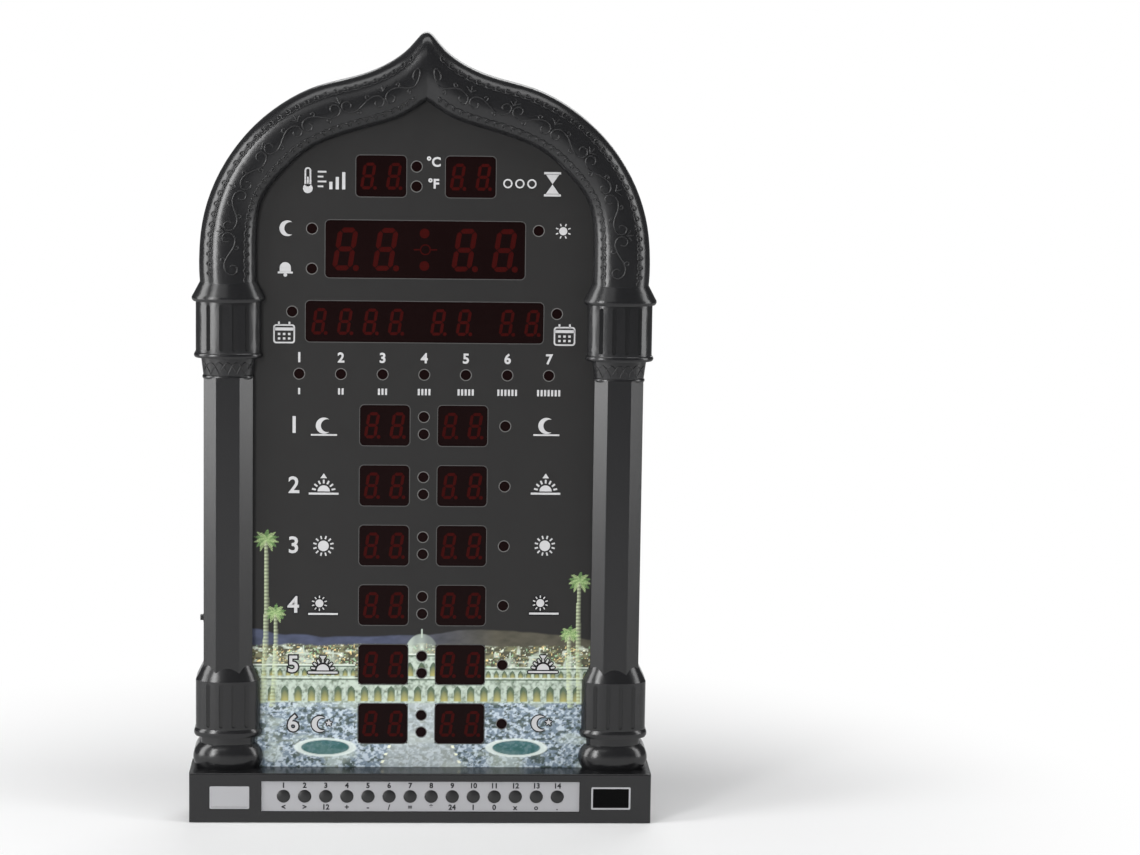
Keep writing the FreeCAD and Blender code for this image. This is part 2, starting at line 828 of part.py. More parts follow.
# Key switches, key board and its screws
switches = []
for x in button_xs:
    case = box(x - switch_size / 2, x + switch_size / 2, switch_y, key_board_front,
               button_z - switch_size / 2, button_z + switch_size / 2)
    bore = rod(x, button_z, stem_size + 2 * switch_bore_gap, switch_y - 1, switch_y + switch_bore_depth)
    switches.append(case.cut(bore))
save("key_switches", Part.makeCompound(switches))

key_board_back = key_board_front + board_thickness
key_board = box(-key_post_left - key_board_margin, plinth_width / 2 - key_board_end, key_board_front,
                key_board_back, key_board_low, key_board_high)
key_holes = [rod(x, button_z, small_shank + free_gap, key_board_front - 1, key_board_back + 1)
             for x in key_posts]
save("key_board", key_board.cut(key_holes))

sensor = box(plate_x - sensor_width / 2, plate_x + sensor_width / 2, key_board_front - sensor_depth,
             key_board_front, plate_z - sensor_height / 2, plate_z + sensor_height / 2)
lens = Part.makeSphere(sensor_lens / 2, V(plate_x, key_board_front - sensor_depth, plate_z))
save("remote_sensor", joined([sensor, lens]))

# Label strip, mirror plate, sensor frame and its dark pane
strip_back = front_y + strip_recess
strip = box(-strip_width / 2, strip_width / 2, strip_back - strip_thickness, strip_back,
            button_z - strip_height / 2, button_z + strip_height / 2)
strip_hole = button_size + 2 * (button_gap + strip_hole_gap)
holes = [rod(x, button_z, strip_hole, front_y, front_y + 2) for x in button_xs]
save("label_strip", strip.cut(holes))

plate_front = front_y + plate_recess - plate_depth


def plate_blank(side):
    return pill(side * plate_x, plate_z, plate_width - 2 * plate_gap, plate_height - 2 * plate_gap,
                plate_corner - plate_gap, plate_front, front_y + plate_recess)


def plate_inside(side, y0, y1, gap):
    trim = 2 * (plate_gap + plate_border + gap)
    return pill(side * plate_x, plate_z, plate_width - trim, plate_height - trim, plate_inner_corner, y0, y1)


mirror = plate_blank(-1).cut(plate_inside(-1, front_y - 1, plate_front + plate_sink, 0))
save("mirror_plate", mirror)
save("sensor_frame", plate_blank(1).cut(plate_inside(1, front_y - 1, front_y + plate_recess + 1, 0)))
save("sensor_window", plate_inside(1, plate_front + plate_sink, front_y + plate_recess, sensor_pane_gap))

# Rear cover: shallow tray with screw pockets, grille, vents, cell bay and hanging slots
cover_half = column_x + shaft_half - cover_inset
cover_points = [rim_point_inside(i, cover_inset) for i in range(1, last_point + 1)]
tray_points = [rim_point_inside(i, cover_inset + cover_wall) for i in range(1, last_point + 1)]
shoulder = (plinth_width / 2 - cover_plinth_inset, plinth_height - cover_shoulder_drop)
cover = arched_plate(cover_half, 0, cover_points, shell_rear, rear_y, shoulder)
tray = arched_plate(cover_half - cover_wall, cover_wall, tray_points, shell_rear - 1, cover_skin,
                    (shoulder[0] - cover_wall, shoulder[1] - cover_wall))
cover = cover.cut(tray)

additions = [rod(x, z, cover_post_size, shell_rear, rear_y) for x, z in cover_spots]
bay_half = bay_size / 2
bay_front = cover_skin - bay_depth
channel_half = door_width / 2 + door_lip
channel_low = cell_z - door_height / 2 - door_travel - door_gap
pad_half = channel_half + channel_pad
additions.append(box(-pad_half, pad_half, cover_skin - cover_wall, cover_skin,
                     channel_low - channel_pad, cell_z + door_height / 2 + channel_pad))
additions.append(box(-bay_half - bay_wall, bay_half + bay_wall, bay_front, cover_skin,
                     cell_z - bay_half - bay_wall, cell_z + bay_half + bay_wall))
cover = cover.multiFuse(additions)

cuts = []
for x, z in cover_spots:
    cuts.append(rod(x, z, screw_shank + cover_hole_gap, shell_rear - 1, rear_y + 1))
    cuts.append(rod(x, z, pocket_size, rear_y - pocket_depth, rear_y + 1))
cuts.append(box(-bay_half, bay_half, bay_front + bay_wall, rear_y, cell_z - bay_half, cell_z + bay_half))
flange_y = cover_skin + door_gap
cuts.append(box(-channel_half - door_gap, channel_half + door_gap, flange_y - door_gap,
                flange_y + door_flange + door_gap, channel_low, cell_z + door_height / 2 + door_gap))
cuts.append(box(-door_width / 2 - door_gap, door_width / 2 + door_gap, flange_y, rear_y + 1,
                channel_low, cell_z + door_height / 2 + door_gap))
grille = [(0, 0)]
for ring in range(1, speaker_rings + 1):
    for step in range(6 * ring):
        angle = math.radians(60.0 * step / ring)
        grille.append((ring * speaker_pitch * math.cos(angle), ring * speaker_pitch * math.sin(angle)))
for dx, dz in grille:
    cuts.append(rod(dx, speaker_z + dz, speaker_hole, cover_skin - 1, rear_y + 1))
speaker_spots = [(sx * speaker_screw_spread, speaker_z + sz * speaker_screw_spread)
                 for sx in (-1, 1) for sz in (-1, 1)]
for x, z in speaker_spots:
    cuts.append(rod(x, z, small_shank + screw_gap, cover_skin - 1, cover_skin + speaker_screw_reach + 0.2))
for x in (-keyhole_x, keyhole_x):
    cuts.append(rod(x, keyhole_z, keyhole_head, cover_skin - 1, rear_y + 1))
    cuts.append(box(x - keyhole_slot / 2, x + keyhole_slot / 2, cover_skin - 1, rear_y + 1,
                    keyhole_z, keyhole_z + keyhole_travel))
    cuts.append(rod(x, keyhole_z + keyhole_travel, keyhole_slot, cover_skin - 1, rear_y + 1))
for x in (-vent_x, vent_x):
    for level in range(vent_count):
        cuts.append(pill(x, vent_z + vent_pitch * level, vent_length, vent_height, vent_corner,
                         cover_skin - 1, rear_y + 1))
cuts.append(rod(inlet_x, inlet_z, inlet_nozzle + 2 * inlet_gap, cover_skin - 1, rear_y + 1))
cuts.append(rod(wheel_x, wheel_z, 2 * wheel_sweep, shell_rear - 1,
                max(shell_rear, wheel_y + wheel_thickness / 2 + wheel_gap)))
save("rear_cover", cover.cut(cuts))

# Door of the cell bay, a plate with two edges that run in the cover's grooves
door_z0 = cell_z - door_height / 2
door_z1 = door_z0 + door_height
door = box(-door_width / 2, door_width / 2, flange_y, rear_y - door_sink, door_z0, door_z1)
edge_plate = box(-channel_half, channel_half, flange_y, flange_y + door_flange, door_z0, door_z1)
grips = []
for index in range(grip_count):
    low = door_z0 + grip_start + grip_pitch * index
    grips.append(box(-grip_half, grip_half, rear_y - grip_depth, rear_y, low, low + grip_width))
save("battery_door", joined([door, edge_plate]).cut(grips))
bay_floor = bay_front + bay_wall
save("backup_cell", rod(0, cell_z, cell_size, bay_floor, bay_floor + cell_thickness))

# Speaker with square flange, basket and magnet
half = speaker_size / 2
flange_seat = cover_skin - speaker_flange
magnet_front = cover_skin - speaker_depth
basket_front = magnet_front + magnet_height
flange = pill(0, speaker_z, speaker_size, speaker_size, speaker_corner, flange_seat, cover_skin)
basket = Part.makeCone(magnet_size / 2, half - basket_inset, flange_seat - basket_front,
                       V(0, basket_front, speaker_z), V(0, 1, 0))
magnet = rod(0, speaker_z, magnet_size, magnet_front, basket_front)
cone = Part.makeCone(cone_foot / 2, half - cone_inset, cover_skin - basket_front - cone_floor,
                     V(0, basket_front + cone_floor, speaker_z), V(0, 1, 0))
speaker = joined([flange, basket, magnet]).cut([cone])
screw_holes = [rod(x, z, small_shank + free_gap, flange_seat - 1, cover_skin + 1) for x, z in speaker_spots]
speaker = speaker.cut(screw_holes)
save("speaker", speaker)


# Pan-head screws: head towards the back, shank forwards
def pan_screw(x, z, seat, head, head_height, shank, length):
    top = rod(x, z, head, seat, seat + head_height)
    body = rod(x, z, shank, seat - length, seat)
    low = seat + head_height - screw_cross_depth
    cross = [box(x - w / 2, x + w / 2, low, seat + head_height + 1, z - h / 2, z + h / 2)
             for w, h in ((screw_cross, screw_cross_width), (screw_cross_width, screw_cross))]
    return joined([top, body]).cut(cross)


def small_screw(x, z, seat, length):
    return pan_screw(x, z, seat, small_head, small_head_height, small_shank, length)


pocket_floor = rear_y - pocket_depth
cover_screws = [pan_screw(x, z, pocket_floor, screw_head, screw_head_height, screw_shank, screw_length)
                for x, z in cover_spots]
save("cover_screws", Part.makeCompound(cover_screws))
chassis_screws = [small_screw(x, z, carrier_back, chassis_screw_length - 1) for x, z in chassis_spots]
save("chassis_screws", Part.makeCompound(chassis_screws))
board_screws = [small_screw(x, z, board_back, board_screw_length - 1) for x, z in board_spots]
board_screws += [small_screw(x, button_z, key_board_back, board_screw_length - 1) for x in key_posts]
save("board_screws", Part.makeCompound(board_screws))
speaker_screws = []
for x, z in speaker_spots:
    head = rod(x, z, small_head, flange_seat - small_head_height, flange_seat)
    body = rod(x, z, small_shank, flange_seat, cover_skin + speaker_screw_reach)
    speaker_screws.append(joined([head, body]))
save("speaker_screws", Part.makeCompound(speaker_screws))

# Volume wheel on its potentiometer
wheel_front = wheel_y - wheel_thickness / 2
wheel_back = wheel_y + wheel_thickness / 2
wheel = rod(wheel_x, wheel_z, 2 * wheel_radius, wheel_front, wheel_back)
nub = box(wheel_x - wheel_radius - wheel_nub, wheel_x - wheel_radius + nub_root, wheel_front, wheel_back,
          wheel_z - wheel_nub_width / 2, wheel_z + wheel_nub_width / 2)
wheel = joined([wheel, nub])
cuts = [rod(wheel_x, wheel_z, axle_size + 2 * axle_gap, wheel_front - 1, wheel_back + 1)]
groove_ring = wheel_radius + rib_offset
for index in range(1, wheel_ribs - 1):
    angle = math.radians(360.0 * (index + 0.5) / wheel_ribs)
    cuts.append(rod(wheel_x - groove_ring * math.cos(angle), wheel_z + groove_ring * math.sin(angle),
                    rib_groove, wheel_front - 1, wheel_back + 1))
wheel = wheel.cut(cuts)
save("volume_wheel", wheel)
pot_front = wheel_back + wheel_gap
pot = joined([rod(wheel_x, wheel_z, pot_size, pot_front, cover_skin),
              rod(wheel_x, wheel_z, axle_size, wheel_front, pot_front)])
save("volume_control", pot)

# Slide switch: case on the inside of the side wall, slider through the slot
case_front = cavity_half - switch_case_depth
case_middle = slider_z + slider_travel / 2
slider_low = slider_z - slider_length / 2
slider_high = slider_z + slider_length / 2
slider_y0 = slider_y - slider_width / 2
slider_y1 = slider_y + slider_width / 2
switch_case = box(case_front, cavity_half, slider_y - switch_case_width / 2, slider_y + switch_case_width / 2,
                  case_middle - switch_case_length / 2, case_middle + switch_case_length / 2)
slot = box(case_front + switch_case_floor, side_face, slider_y0 - slider_gap, slider_y1 + slider_gap,
           slider_low - slider_gap, slider_high + slider_travel + slider_gap)
save("power_switch", switch_case.cut(slot))
slider = box(case_front + switch_case_floor + slider_end_gap, side_face + slider_end, slider_y0, slider_y1,
             slider_low, slider_high)
slider_ribs = []
for side in (-1, 1):
    rib_z = slider_z + side * slider_rib_pitch / 2
    slider_ribs.append(box(side_face, side_face + slider_proud, slider_y0, slider_y1,
                           rib_z - slider_rib / 2, rib_z + slider_rib / 2))
save("power_slider", joined([slider] + slider_ribs))

# Power inlet
inlet_half = inlet_body / 2
nozzle_back = rear_y - inlet_sink
inlet = box(inlet_x - inlet_half, inlet_x + inlet_half, cover_skin - inlet_depth, cover_skin,
            inlet_z - inlet_half, inlet_z + inlet_half)
inlet = joined([inlet, rod(inlet_x, inlet_z, inlet_nozzle, cover_skin - 1, nozzle_back)])
inlet = inlet.cut(rod(inlet_x, inlet_z, inlet_bore, nozzle_back - inlet_bore_depth, rear_y + 1))
inlet_contact = rod(inlet_x, inlet_z, inlet_pin, nozzle_back - inlet_bore_depth - inlet_pin_root,
                    nozzle_back - inlet_pin_sink)
save("power_inlet", joined([inlet, inlet_contact]))

# Flat cable from the key board under the dial carrier up to the display board
cable_half = cable_width / 2
cable_back = board_back + cable_bow
cable_top = plinth_height + cable_rise
cable_x0 = cable_x - cable_half
cable_x1 = cable_x + cable_half
cable = [box(cable_x0, cable_x1, key_board_back, cable_back, cable_z, cable_z + cable_thickness),
         box(cable_x0, cable_x1, cable_back - cable_thickness, cable_back, cable_z, cable_top),
         box(cable_x0, cable_x1, board_back, cable_back, cable_top - cable_thickness, cable_top)]
save("key_cable", joined(cable))
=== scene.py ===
# %% [markdown]
# # Azan clock: looks
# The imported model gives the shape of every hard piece. This script gives each piece its finish
# and adds what is too fine for the model: the cast scrolls of the arch, the print on the dial,
# the unlit figures behind the red windows and the marks round the keys.

# %% Load the frame
import bpy
import math
import numpy as np
from mathutils import Matrix, Vector
from mathutils.bvhtree import BVHTree


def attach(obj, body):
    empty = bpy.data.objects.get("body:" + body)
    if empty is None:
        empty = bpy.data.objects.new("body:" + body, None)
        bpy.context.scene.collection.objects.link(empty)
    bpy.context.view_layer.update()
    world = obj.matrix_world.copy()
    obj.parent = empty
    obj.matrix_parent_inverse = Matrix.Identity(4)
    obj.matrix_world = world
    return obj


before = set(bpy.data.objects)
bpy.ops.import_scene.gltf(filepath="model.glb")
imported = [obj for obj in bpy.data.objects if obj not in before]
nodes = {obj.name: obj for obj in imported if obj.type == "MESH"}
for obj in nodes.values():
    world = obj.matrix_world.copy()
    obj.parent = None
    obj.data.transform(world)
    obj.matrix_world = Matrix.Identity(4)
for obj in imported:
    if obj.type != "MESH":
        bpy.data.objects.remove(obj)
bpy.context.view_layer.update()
MM = 0.001

# %% [markdown]
# ## Finishes
# One helper makes them all. Each is a plain shader with a fine noise in its colour, roughness or
# bumps, because real mouldings, plating and print are never perfectly even. The noise is sampled
# in the object's own coordinates, in metres, so it stays put when a piece moves.

# %% One finish: even colour, a little noise, fine bumps where asked
ROUGHNESS_SPREAD = 0.04
BUMP_DEPTH = 0.0002


def finish(name, color, rough=0.4, metal=0.0, vary=0.06, scale=60.0, bump=0.0, bump_scale=900.0,
           spec=0.5, attribute=None):
    """attribute: a colour painted on the mesh, used in place of the even colour."""
    mat = bpy.data.materials.new(name)
    mat.use_nodes = True
    tree = mat.node_tree
    shader = tree.nodes["Principled BSDF"]
    coords = tree.nodes.new("ShaderNodeTexCoord")
    noise = tree.nodes.new("ShaderNodeTexNoise")
    noise.inputs["Scale"].default_value = scale
    noise.inputs["Detail"].default_value = 4
    tree.links.new(coords.outputs["Object"], noise.inputs["Vector"])
    ramp = tree.nodes.new("ShaderNodeMapRange")
    ramp.inputs["To Min"].default_value = 1 - vary
    ramp.inputs["To Max"].default_value = 1 + vary
    tree.links.new(noise.outputs["Fac"], ramp.inputs["Value"])
    mix = tree.nodes.new("ShaderNodeVectorMath")
    mix.operation = "SCALE"
    if attribute:
        paint = tree.nodes.new("ShaderNodeAttribute")
        paint.attribute_name = attribute
        tree.links.new(paint.outputs["Color"], mix.inputs[0])
    else:
        mix.inputs[0].default_value = color
    tree.links.new(ramp.outputs["Result"], mix.inputs["Scale"])
    tree.links.new(mix.outputs["Vector"], shader.inputs["Base Color"])
    rough_range = tree.nodes.new("ShaderNodeMapRange")
    rough_range.inputs["To Min"].default_value = rough - ROUGHNESS_SPREAD
    rough_range.inputs["To Max"].default_value = rough + ROUGHNESS_SPREAD
    tree.links.new(noise.outputs["Fac"], rough_range.inputs["Value"])
    tree.links.new(rough_range.outputs["Result"], shader.inputs["Roughness"])
    shader.inputs["Metallic"].default_value = metal
    shader.inputs["Specular IOR Level"].default_value = spec
    if bump:
        grain = tree.nodes.new("ShaderNodeTexNoise")
        grain.inputs["Scale"].default_value = bump_scale
        relief = tree.nodes.new("ShaderNodeBump")
        relief.inputs["Strength"].default_value = bump
        relief.inputs["Distance"].default_value = BUMP_DEPTH
        tree.links.new(coords.outputs["Object"], grain.inputs["Vector"])
        tree.links.new(grain.outputs["Fac"], relief.inputs["Height"])
        tree.links.new(relief.outputs["Normal"], shader.inputs["Normal"])
    return mat


print("finish helper ready")

# %% [markdown]
# ## Case, dial and inner pieces
# The shell is a half-glossy black moulding and the cover a coarser one. The dial is a printed
# sheet, a little duller. The panes are smoked red plastic, almost black with the power off. They
# could be made clear, but unlit figures hardly show through dark plastic, so the panes are opaque
# and the faint figures are drawn in front of them. The keys and switches share one black, and the
# inner pieces have the usual greens, greys and zinc.

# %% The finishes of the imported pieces
DIAL_GREY = (0.0185, 0.018, 0.0178)
shell_mat = finish("shell_grey", (0.009, 0.009, 0.0098), 0.22, vary=0.05, scale=30, bump=0.04)
panel_mat = finish("dial_grey", DIAL_GREY, 0.42, vary=0.04, scale=90, bump=0.04, spec=0.25)
pane_mat = finish("smoked_red", (0.0055, 0.0014, 0.0014), 0.3, vary=0.25, scale=25, spec=0.08)
case_mat = finish("display_case", (0.02, 0.018, 0.018), 0.5, vary=0.15)
lamp_mat = finish("lamp_red", (0.07, 0.005, 0.004), 0.15, vary=0.1, scale=300, spec=0.2)
key_mat = finish("key_black", (0.012, 0.012, 0.0125), 0.3, vary=0.12, scale=120)
cover_mat = finish("cover_dark", (0.035, 0.035, 0.038), 0.55, vary=0.08, scale=80, bump=0.5,
                   bump_scale=1500)
tray_mat = finish("carrier_dark", (0.05, 0.05, 0.052), 0.5, vary=0.08)
board_mat = finish("solder_mask", (0.012, 0.09, 0.03), 0.35, vary=0.2, scale=200)
strip_mat = finish("silver_strip", (0.37, 0.37, 0.385), 0.42, metal=0.25, vary=0.025, scale=160)
chrome_mat = finish("chrome", (0.55, 0.55, 0.57), 0.12, metal=1.0, vary=0.02, scale=40)
window_mat = finish("ir_window", (0.002, 0.002, 0.002), 0.1, vary=0.15, scale=60, spec=0.05)
steel_mat = finish("zinc_steel", (0.52, 0.52, 0.53), 0.3, metal=1.0, vary=0.06, scale=400)
cable_mat = finish("flat_cable", (0.6, 0.6, 0.56), 0.45, vary=0.08, scale=300)
speaker_mat = finish("speaker_basket", (0.07, 0.07, 0.075), 0.55, vary=0.12, scale=150)

finish_of = {"front_shell": shell_mat, "front_panel": panel_mat, "window_filter": pane_mat,
             "dial_carrier": tray_mat, "indicator_lamps": lamp_mat, "display_board": board_mat,
             "key_board": board_mat, "label_strip": strip_mat, "mirror_plate": chrome_mat,
             "sensor_frame": chrome_mat, "sensor_window": window_mat, "rear_cover": cover_mat,
             "battery_door": cover_mat, "backup_cell": steel_mat, "key_cable": cable_mat,
             "speaker": speaker_mat}
for name, node in nodes.items():
    mat = finish_of.get(name, key_mat)
    if name.endswith("_display"):
        mat = case_mat
    if name.endswith("_screws"):
        mat = steel_mat
    node.data.materials.clear()
    node.data.materials.append(mat)
print("finishes given to", len(nodes), "nodes")

# %% Inks for the print, and painted edge highlights
dial_mat = finish("dial_print", DIAL_GREY, 0.42, vary=0.04, scale=90, bump=0.04, spec=0.25,
                  attribute="print")
ink_mat = finish("print_white", (0.51, 0.508, 0.515), 0.55, vary=0.04, scale=400)
# The next two are painted highlight: pale lines for light caught on the cut edges of the openings
window_edge_light_mat = finish("pale_window_edge_highlight", (0.06, 0.059, 0.058), 0.5, vary=0.05, scale=400)
lamp_edge_light_mat = finish("pale_lamp_edge_highlight", (0.13, 0.128, 0.125), 0.5, vary=0.05, scale=400)
figure_mat = finish("figure_red", (0.036, 0.0032, 0.0028), 0.35, vary=0.25, scale=35, spec=0.05)
dark_ink_mat = finish("print_black", (0.015, 0.015, 0.017), 0.6, vary=0.15, scale=500, spec=0.2)
print("inks ready")

# %% [markdown]
# ## Drawing tools
# Print is thinner than paint, so each printed mark is a flat outline lying 0.03 mm in front of the
# face it is printed on. Shapes are drawn in millimetres in the XZ plane and collected into one
# piece per ink, which keeps the object simple. Dark edges of signs lie just behind the signs, and
# the picture lies behind both.

# %% Heights of the layers and one way to add a piece
DIAL_Y = -4.0
PICTURE_Y = DIAL_Y - 0.012
EDGE_Y = DIAL_Y - 0.021
PRINT_Y = DIAL_Y - 0.03


def add_to_case(name, data):
    """A piece that stays with the case."""
    piece = bpy.data.objects.new(name, data)
    bpy.context.collection.objects.link(piece)
    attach(piece, "case")
    return piece


def polar(x, z, radius, degrees):
    a = math.radians(degrees)
    return (x + radius * math.cos(a), z + radius * math.sin(a))


def round_points(x, z, radius, steps=32):
    return [polar(x, z, radius, 360 * i / steps) for i in range(steps)]


def rounded_rect(x, z, w, h, r, steps=5):
    pts = []
    for cx, cz, first in ((x + w / 2 - r, z + h / 2 - r, 0), (x - w / 2 + r, z + h / 2 - r, 90),
                          (x - w / 2 + r, z - h / 2 + r, 180), (x + w / 2 - r, z - h / 2 + r, 270)):
        pts += [polar(cx, cz, r, first + 90 * i / steps) for i in range(steps + 1)]
    return pts


print("dial at y", DIAL_Y, "print at y", PRINT_Y)

# %% Flat shapes
class Ink:
    """Collects flat shapes in the XZ plane, in millimetres, and makes one piece of them."""

    def __init__(self, name, y, mat):
        self.name, self.y, self.mat = name, y, mat
        self.verts, self.faces = [], []

    def poly(self, points):
        start = len(self.verts)
        area = sum(a[0] * b[1] - b[0] * a[1] for a, b in zip(points, points[1:] + points[:1]))
        if area < 0:
            points = points[::-1]
        self.verts += [(x * MM, self.y * MM, z * MM) for x, z in points]
        self.faces.append(list(range(start, start + len(points))))

    def band(self, inner, outer):
        count = len(inner)
        for i in range(count):
            j = (i + 1) % count
            self.poly([inner[i], inner[j], outer[j], outer[i]])

    def disc(self, x, z, radius, start=0.0, end=360.0, steps=28):
        corners = steps + (0 if end - start >= 360 else 1)
        self.poly([polar(x, z, radius, start + (end - start) * i / steps) for i in range(corners)])

    def ring(self, x, z, inner, outer, steps=32):
        self.band(round_points(x, z, inner, steps), round_points(x, z, outer, steps))

    def bar(self, x0, z0, x1, z1, width):
        dx, dz = x1 - x0, z1 - z0
        length = math.hypot(dx, dz)
        nx, nz = -dz / length * width / 2, dx / length * width / 2
        self.poly([(x0 + nx, z0 + nz), (x1 + nx, z1 + nz), (x1 - nx, z1 - nz), (x0 - nx, z0 - nz)])

    def rect(self, x, z, w, h):
        self.poly([(x - w / 2, z - h / 2), (x + w / 2, z - h / 2),
                   (x + w / 2, z + h / 2), (x - w / 2, z + h / 2)])

    def make(self):
        mesh = bpy.data.meshes.new(self.name)
        mesh.from_pydata(self.verts, [], self.faces)
        mesh.materials.append(self.mat)
        return add_to_case(self.name, mesh)


print("drawing tools ready")

# %% Places on the dial, the same sizes as in the model
ROW_COUNT = 6
ROW_PITCH = 32.74
ROW_Z = [215.0 - ROW_PITCH * i for i in range(ROW_COUNT)]
MAIN_Z, DATE_Z, TOP_Z, DAY_Z = 309.8, 270.9, 348.8, 242.6
TOP_X, ROW_X = 23.8, 20.9
MAIN_WINDOW, DATE_WINDOW, SMALL_WINDOW = (106.5, 30.8), (127.2, 22.0), (26.7, 22.0)
DAY_COUNT = 7
DAY_X = [(i - (DAY_COUNT - 1) / 2) * 22.3 for i in range(DAY_COUNT)]
MODE_X, MODE_RISE = 60.4, 10.7
CALENDAR_X, CALENDAR_RISE = 70.8, 5.1
small_places = [(-TOP_X, TOP_Z), (TOP_X, TOP_Z)] + [(side * ROW_X, z) for z in ROW_Z for side in (-1, 1)]
windows = [(0, MAIN_Z) + MAIN_WINDOW, (0, DATE_Z) + DATE_WINDOW]
windows += [place + SMALL_WINDOW for place in small_places]
lamps = [(0.0, z + side * 4.7) for z in ROW_Z for side in (-1, 1)] + [(43.8, z) for z in ROW_Z]
lamps += [(-5.0, TOP_Z + side * 5.3) for side in (-1, 1)]
lamps += [(-MODE_X, MAIN_Z + side * MODE_RISE) for side in (-1, 1)] + [(MODE_X, MAIN_Z + MODE_RISE)]
lamps += [(side * CALENDAR_X, DATE_Z + CALENDAR_RISE) for side in (-1, 1)]
lamps += [(x, DAY_Z) for x in DAY_X]
print(len(windows), "windows", len(lamps), "lamps")

# %% [markdown]
# ## Painted highlight on window and lamp edges
# A thin pale line round every window and a slightly paler ring round every lamp hole are painted
# highlight: they stand in for light caught on the cut edge of each opening. They also hide the edge
# where the print stops. A bevelled curve would stand up from the dial like a wire, so each line is
# a flat band between two rounded outlines.

# %% Outlines: painted edge highlights
LINE_WIDTH = 0.4
LAMP_RING = 2.8
WINDOW_CORNER = 2.2
# Pale bands round windows and lamp holes: painted highlight of their lit cut edges
outline = Ink("window_edge_highlights", PRINT_Y, window_edge_light_mat)
rings = Ink("lamp_edge_highlights", PRINT_Y, lamp_edge_light_mat)
for x, z, w, h in windows:
    inner = rounded_rect(x, z, w, h, WINDOW_CORNER)
    outer = rounded_rect(x, z, w + 2 * LINE_WIDTH, h + 2 * LINE_WIDTH, WINDOW_CORNER + LINE_WIDTH)
    outline.band(inner, outer)
for x, z in lamps:
    rings.ring(x, z, LAMP_RING, LAMP_RING + LINE_WIDTH)
outline.make()
rings.make()
print("outlines", len(windows), "rings", len(lamps))

# %% [markdown]
# ## Unlit figures
# With the power off each figure still shows faintly: seven leaning bars with pointed ends and a
# small round point. They sit behind smoked plastic, so they are only a little redder than it. One
# function draws a figure at any height, upright at first and then leaned, because the windows
# differ only in size and place.

# %% One seven-segment figure
LEAN = math.tan(math.radians(9.0))
MAIN_FIGURE, SMALL_FIGURE = 22.9, 14.2
FIGURE_WIDTH, FIGURE_BAR = 0.47, 0.115
TIP_GAP = 0.12


def segment(ink, origin, a, b, width):
    """A bar from a to b with pointed ends, drawn in the figure's own upright frame."""
    (ax, az), (bx, bz) = a, b
    length = math.hypot(bx - ax, bz - az)
    ux, uz = (bx - ax) / length, (bz - az) / length
    nx, nz = -uz * width / 2, ux * width / 2
    tip, gap = width / 2, TIP_GAP * width
    ax, az = ax + ux * gap, az + uz * gap
    bx, bz = bx - ux * gap, bz - uz * gap
    pts = [(ax, az), (ax + ux * tip + nx, az + uz * tip + nz), (bx - ux * tip + nx, bz - uz * tip + nz),
           (bx, bz), (bx - ux * tip - nx, bz - uz * tip - nz), (ax + ux * tip - nx, az + uz * tip - nz)]
    ink.poly([(origin[0] + x + LEAN * z, origin[1] + z) for x, z in pts])


def figure(ink, x, z, height):
    width, bar = height * FIGURE_WIDTH, height * FIGURE_BAR
    half, side = height / 2 - bar / 2, width / 2 - bar / 2
    for level in (-half, 0, half):
        segment(ink, (x, z), (-side, level), (side, level), bar)
    for edge in (-side, side):
        segment(ink, (x, z), (edge, -half), (edge, 0), bar)
        segment(ink, (x, z), (edge, 0), (edge, half), bar)
    ink.disc(x + width / 2 + bar * 0.75 - LEAN * half, z - half, bar * 0.62, steps=14)


print("one figure has 7 bars and a point")

# %% All figures
MAIN_FIGURE_X = (-42.7, -21.3, 20.8, 42.1)
DATE_FIGURE_X = (-56.4, -42.7, -29.1, -15.5, 7.2, 20.9, 43.9, 57.5)
SMALL_FIGURE_X = (-6.9, 6.7)
COLON_X, COLON_RISE, COLON_RADIUS = -0.5, 8.7, 2.6
figures = Ink("unlit_figures", PRINT_Y, figure_mat)
for x in MAIN_FIGURE_X:
    figure(figures, x, MAIN_Z, MAIN_FIGURE)
for x in DATE_FIGURE_X:
    figure(figures, x, DATE_Z, SMALL_FIGURE)
for middle, z in small_places:
    for x in SMALL_FIGURE_X:
        figure(figures, middle + x, z, SMALL_FIGURE)
for side in (1, -1):
    figures.disc(COLON_X, MAIN_Z + side * COLON_RISE, COLON_RADIUS)
# A small ring with a dash on each side lies between the colon's dots
figures.ring(0.0, MAIN_Z, 2.3, 2.9)
figures.bar(-6.2, MAIN_Z, -2.9, MAIN_Z, 0.7)
figures.bar(2.9, MAIN_Z, 6.2, MAIN_Z, 0.7)
figures.make()
print("figure bars", len(figures.faces))

# %% [markdown]
# ## Marks on the dial
# The dial carries plain signs in white print: numbers for the days and the rows, sun and moon for
# the times of day, a thermometer and an hourglass for the two small windows. Numbers are cut from
# the built-in font. Where a mark lies on the picture it gets a dark edge, so that it stays
# readable: a sign has copies behind it shifted eight ways, and a number has one swollen copy.

# %% Printed numbers
FONT_SIZE = 1.42


def text_mesh(body, x, z, height, y, name, heavy):
    """height: of a capital, in millimetres; heavy: how far each letter is swollen."""
    curve = bpy.data.curves.new(name, "FONT")
    curve.body = body
    curve.align_x = "CENTER"
    curve.align_y = "CENTER"
    curve.size = height * MM * FONT_SIZE
    curve.offset = heavy * MM
    curve.resolution_u = 3
    letters = bpy.data.objects.new(name, curve)
    bpy.context.collection.objects.link(letters)
    upright = Matrix.Rotation(math.pi / 2, 4, "X")
    letters.matrix_world = Matrix.Translation((x * MM, y * MM, z * MM)) @ upright
    bpy.context.view_layer.update()
    mesh = bpy.data.meshes.new_from_object(letters.evaluated_get(bpy.context.evaluated_depsgraph_get()))
    mesh.transform(letters.matrix_world)
    bpy.data.objects.remove(letters)
    return mesh


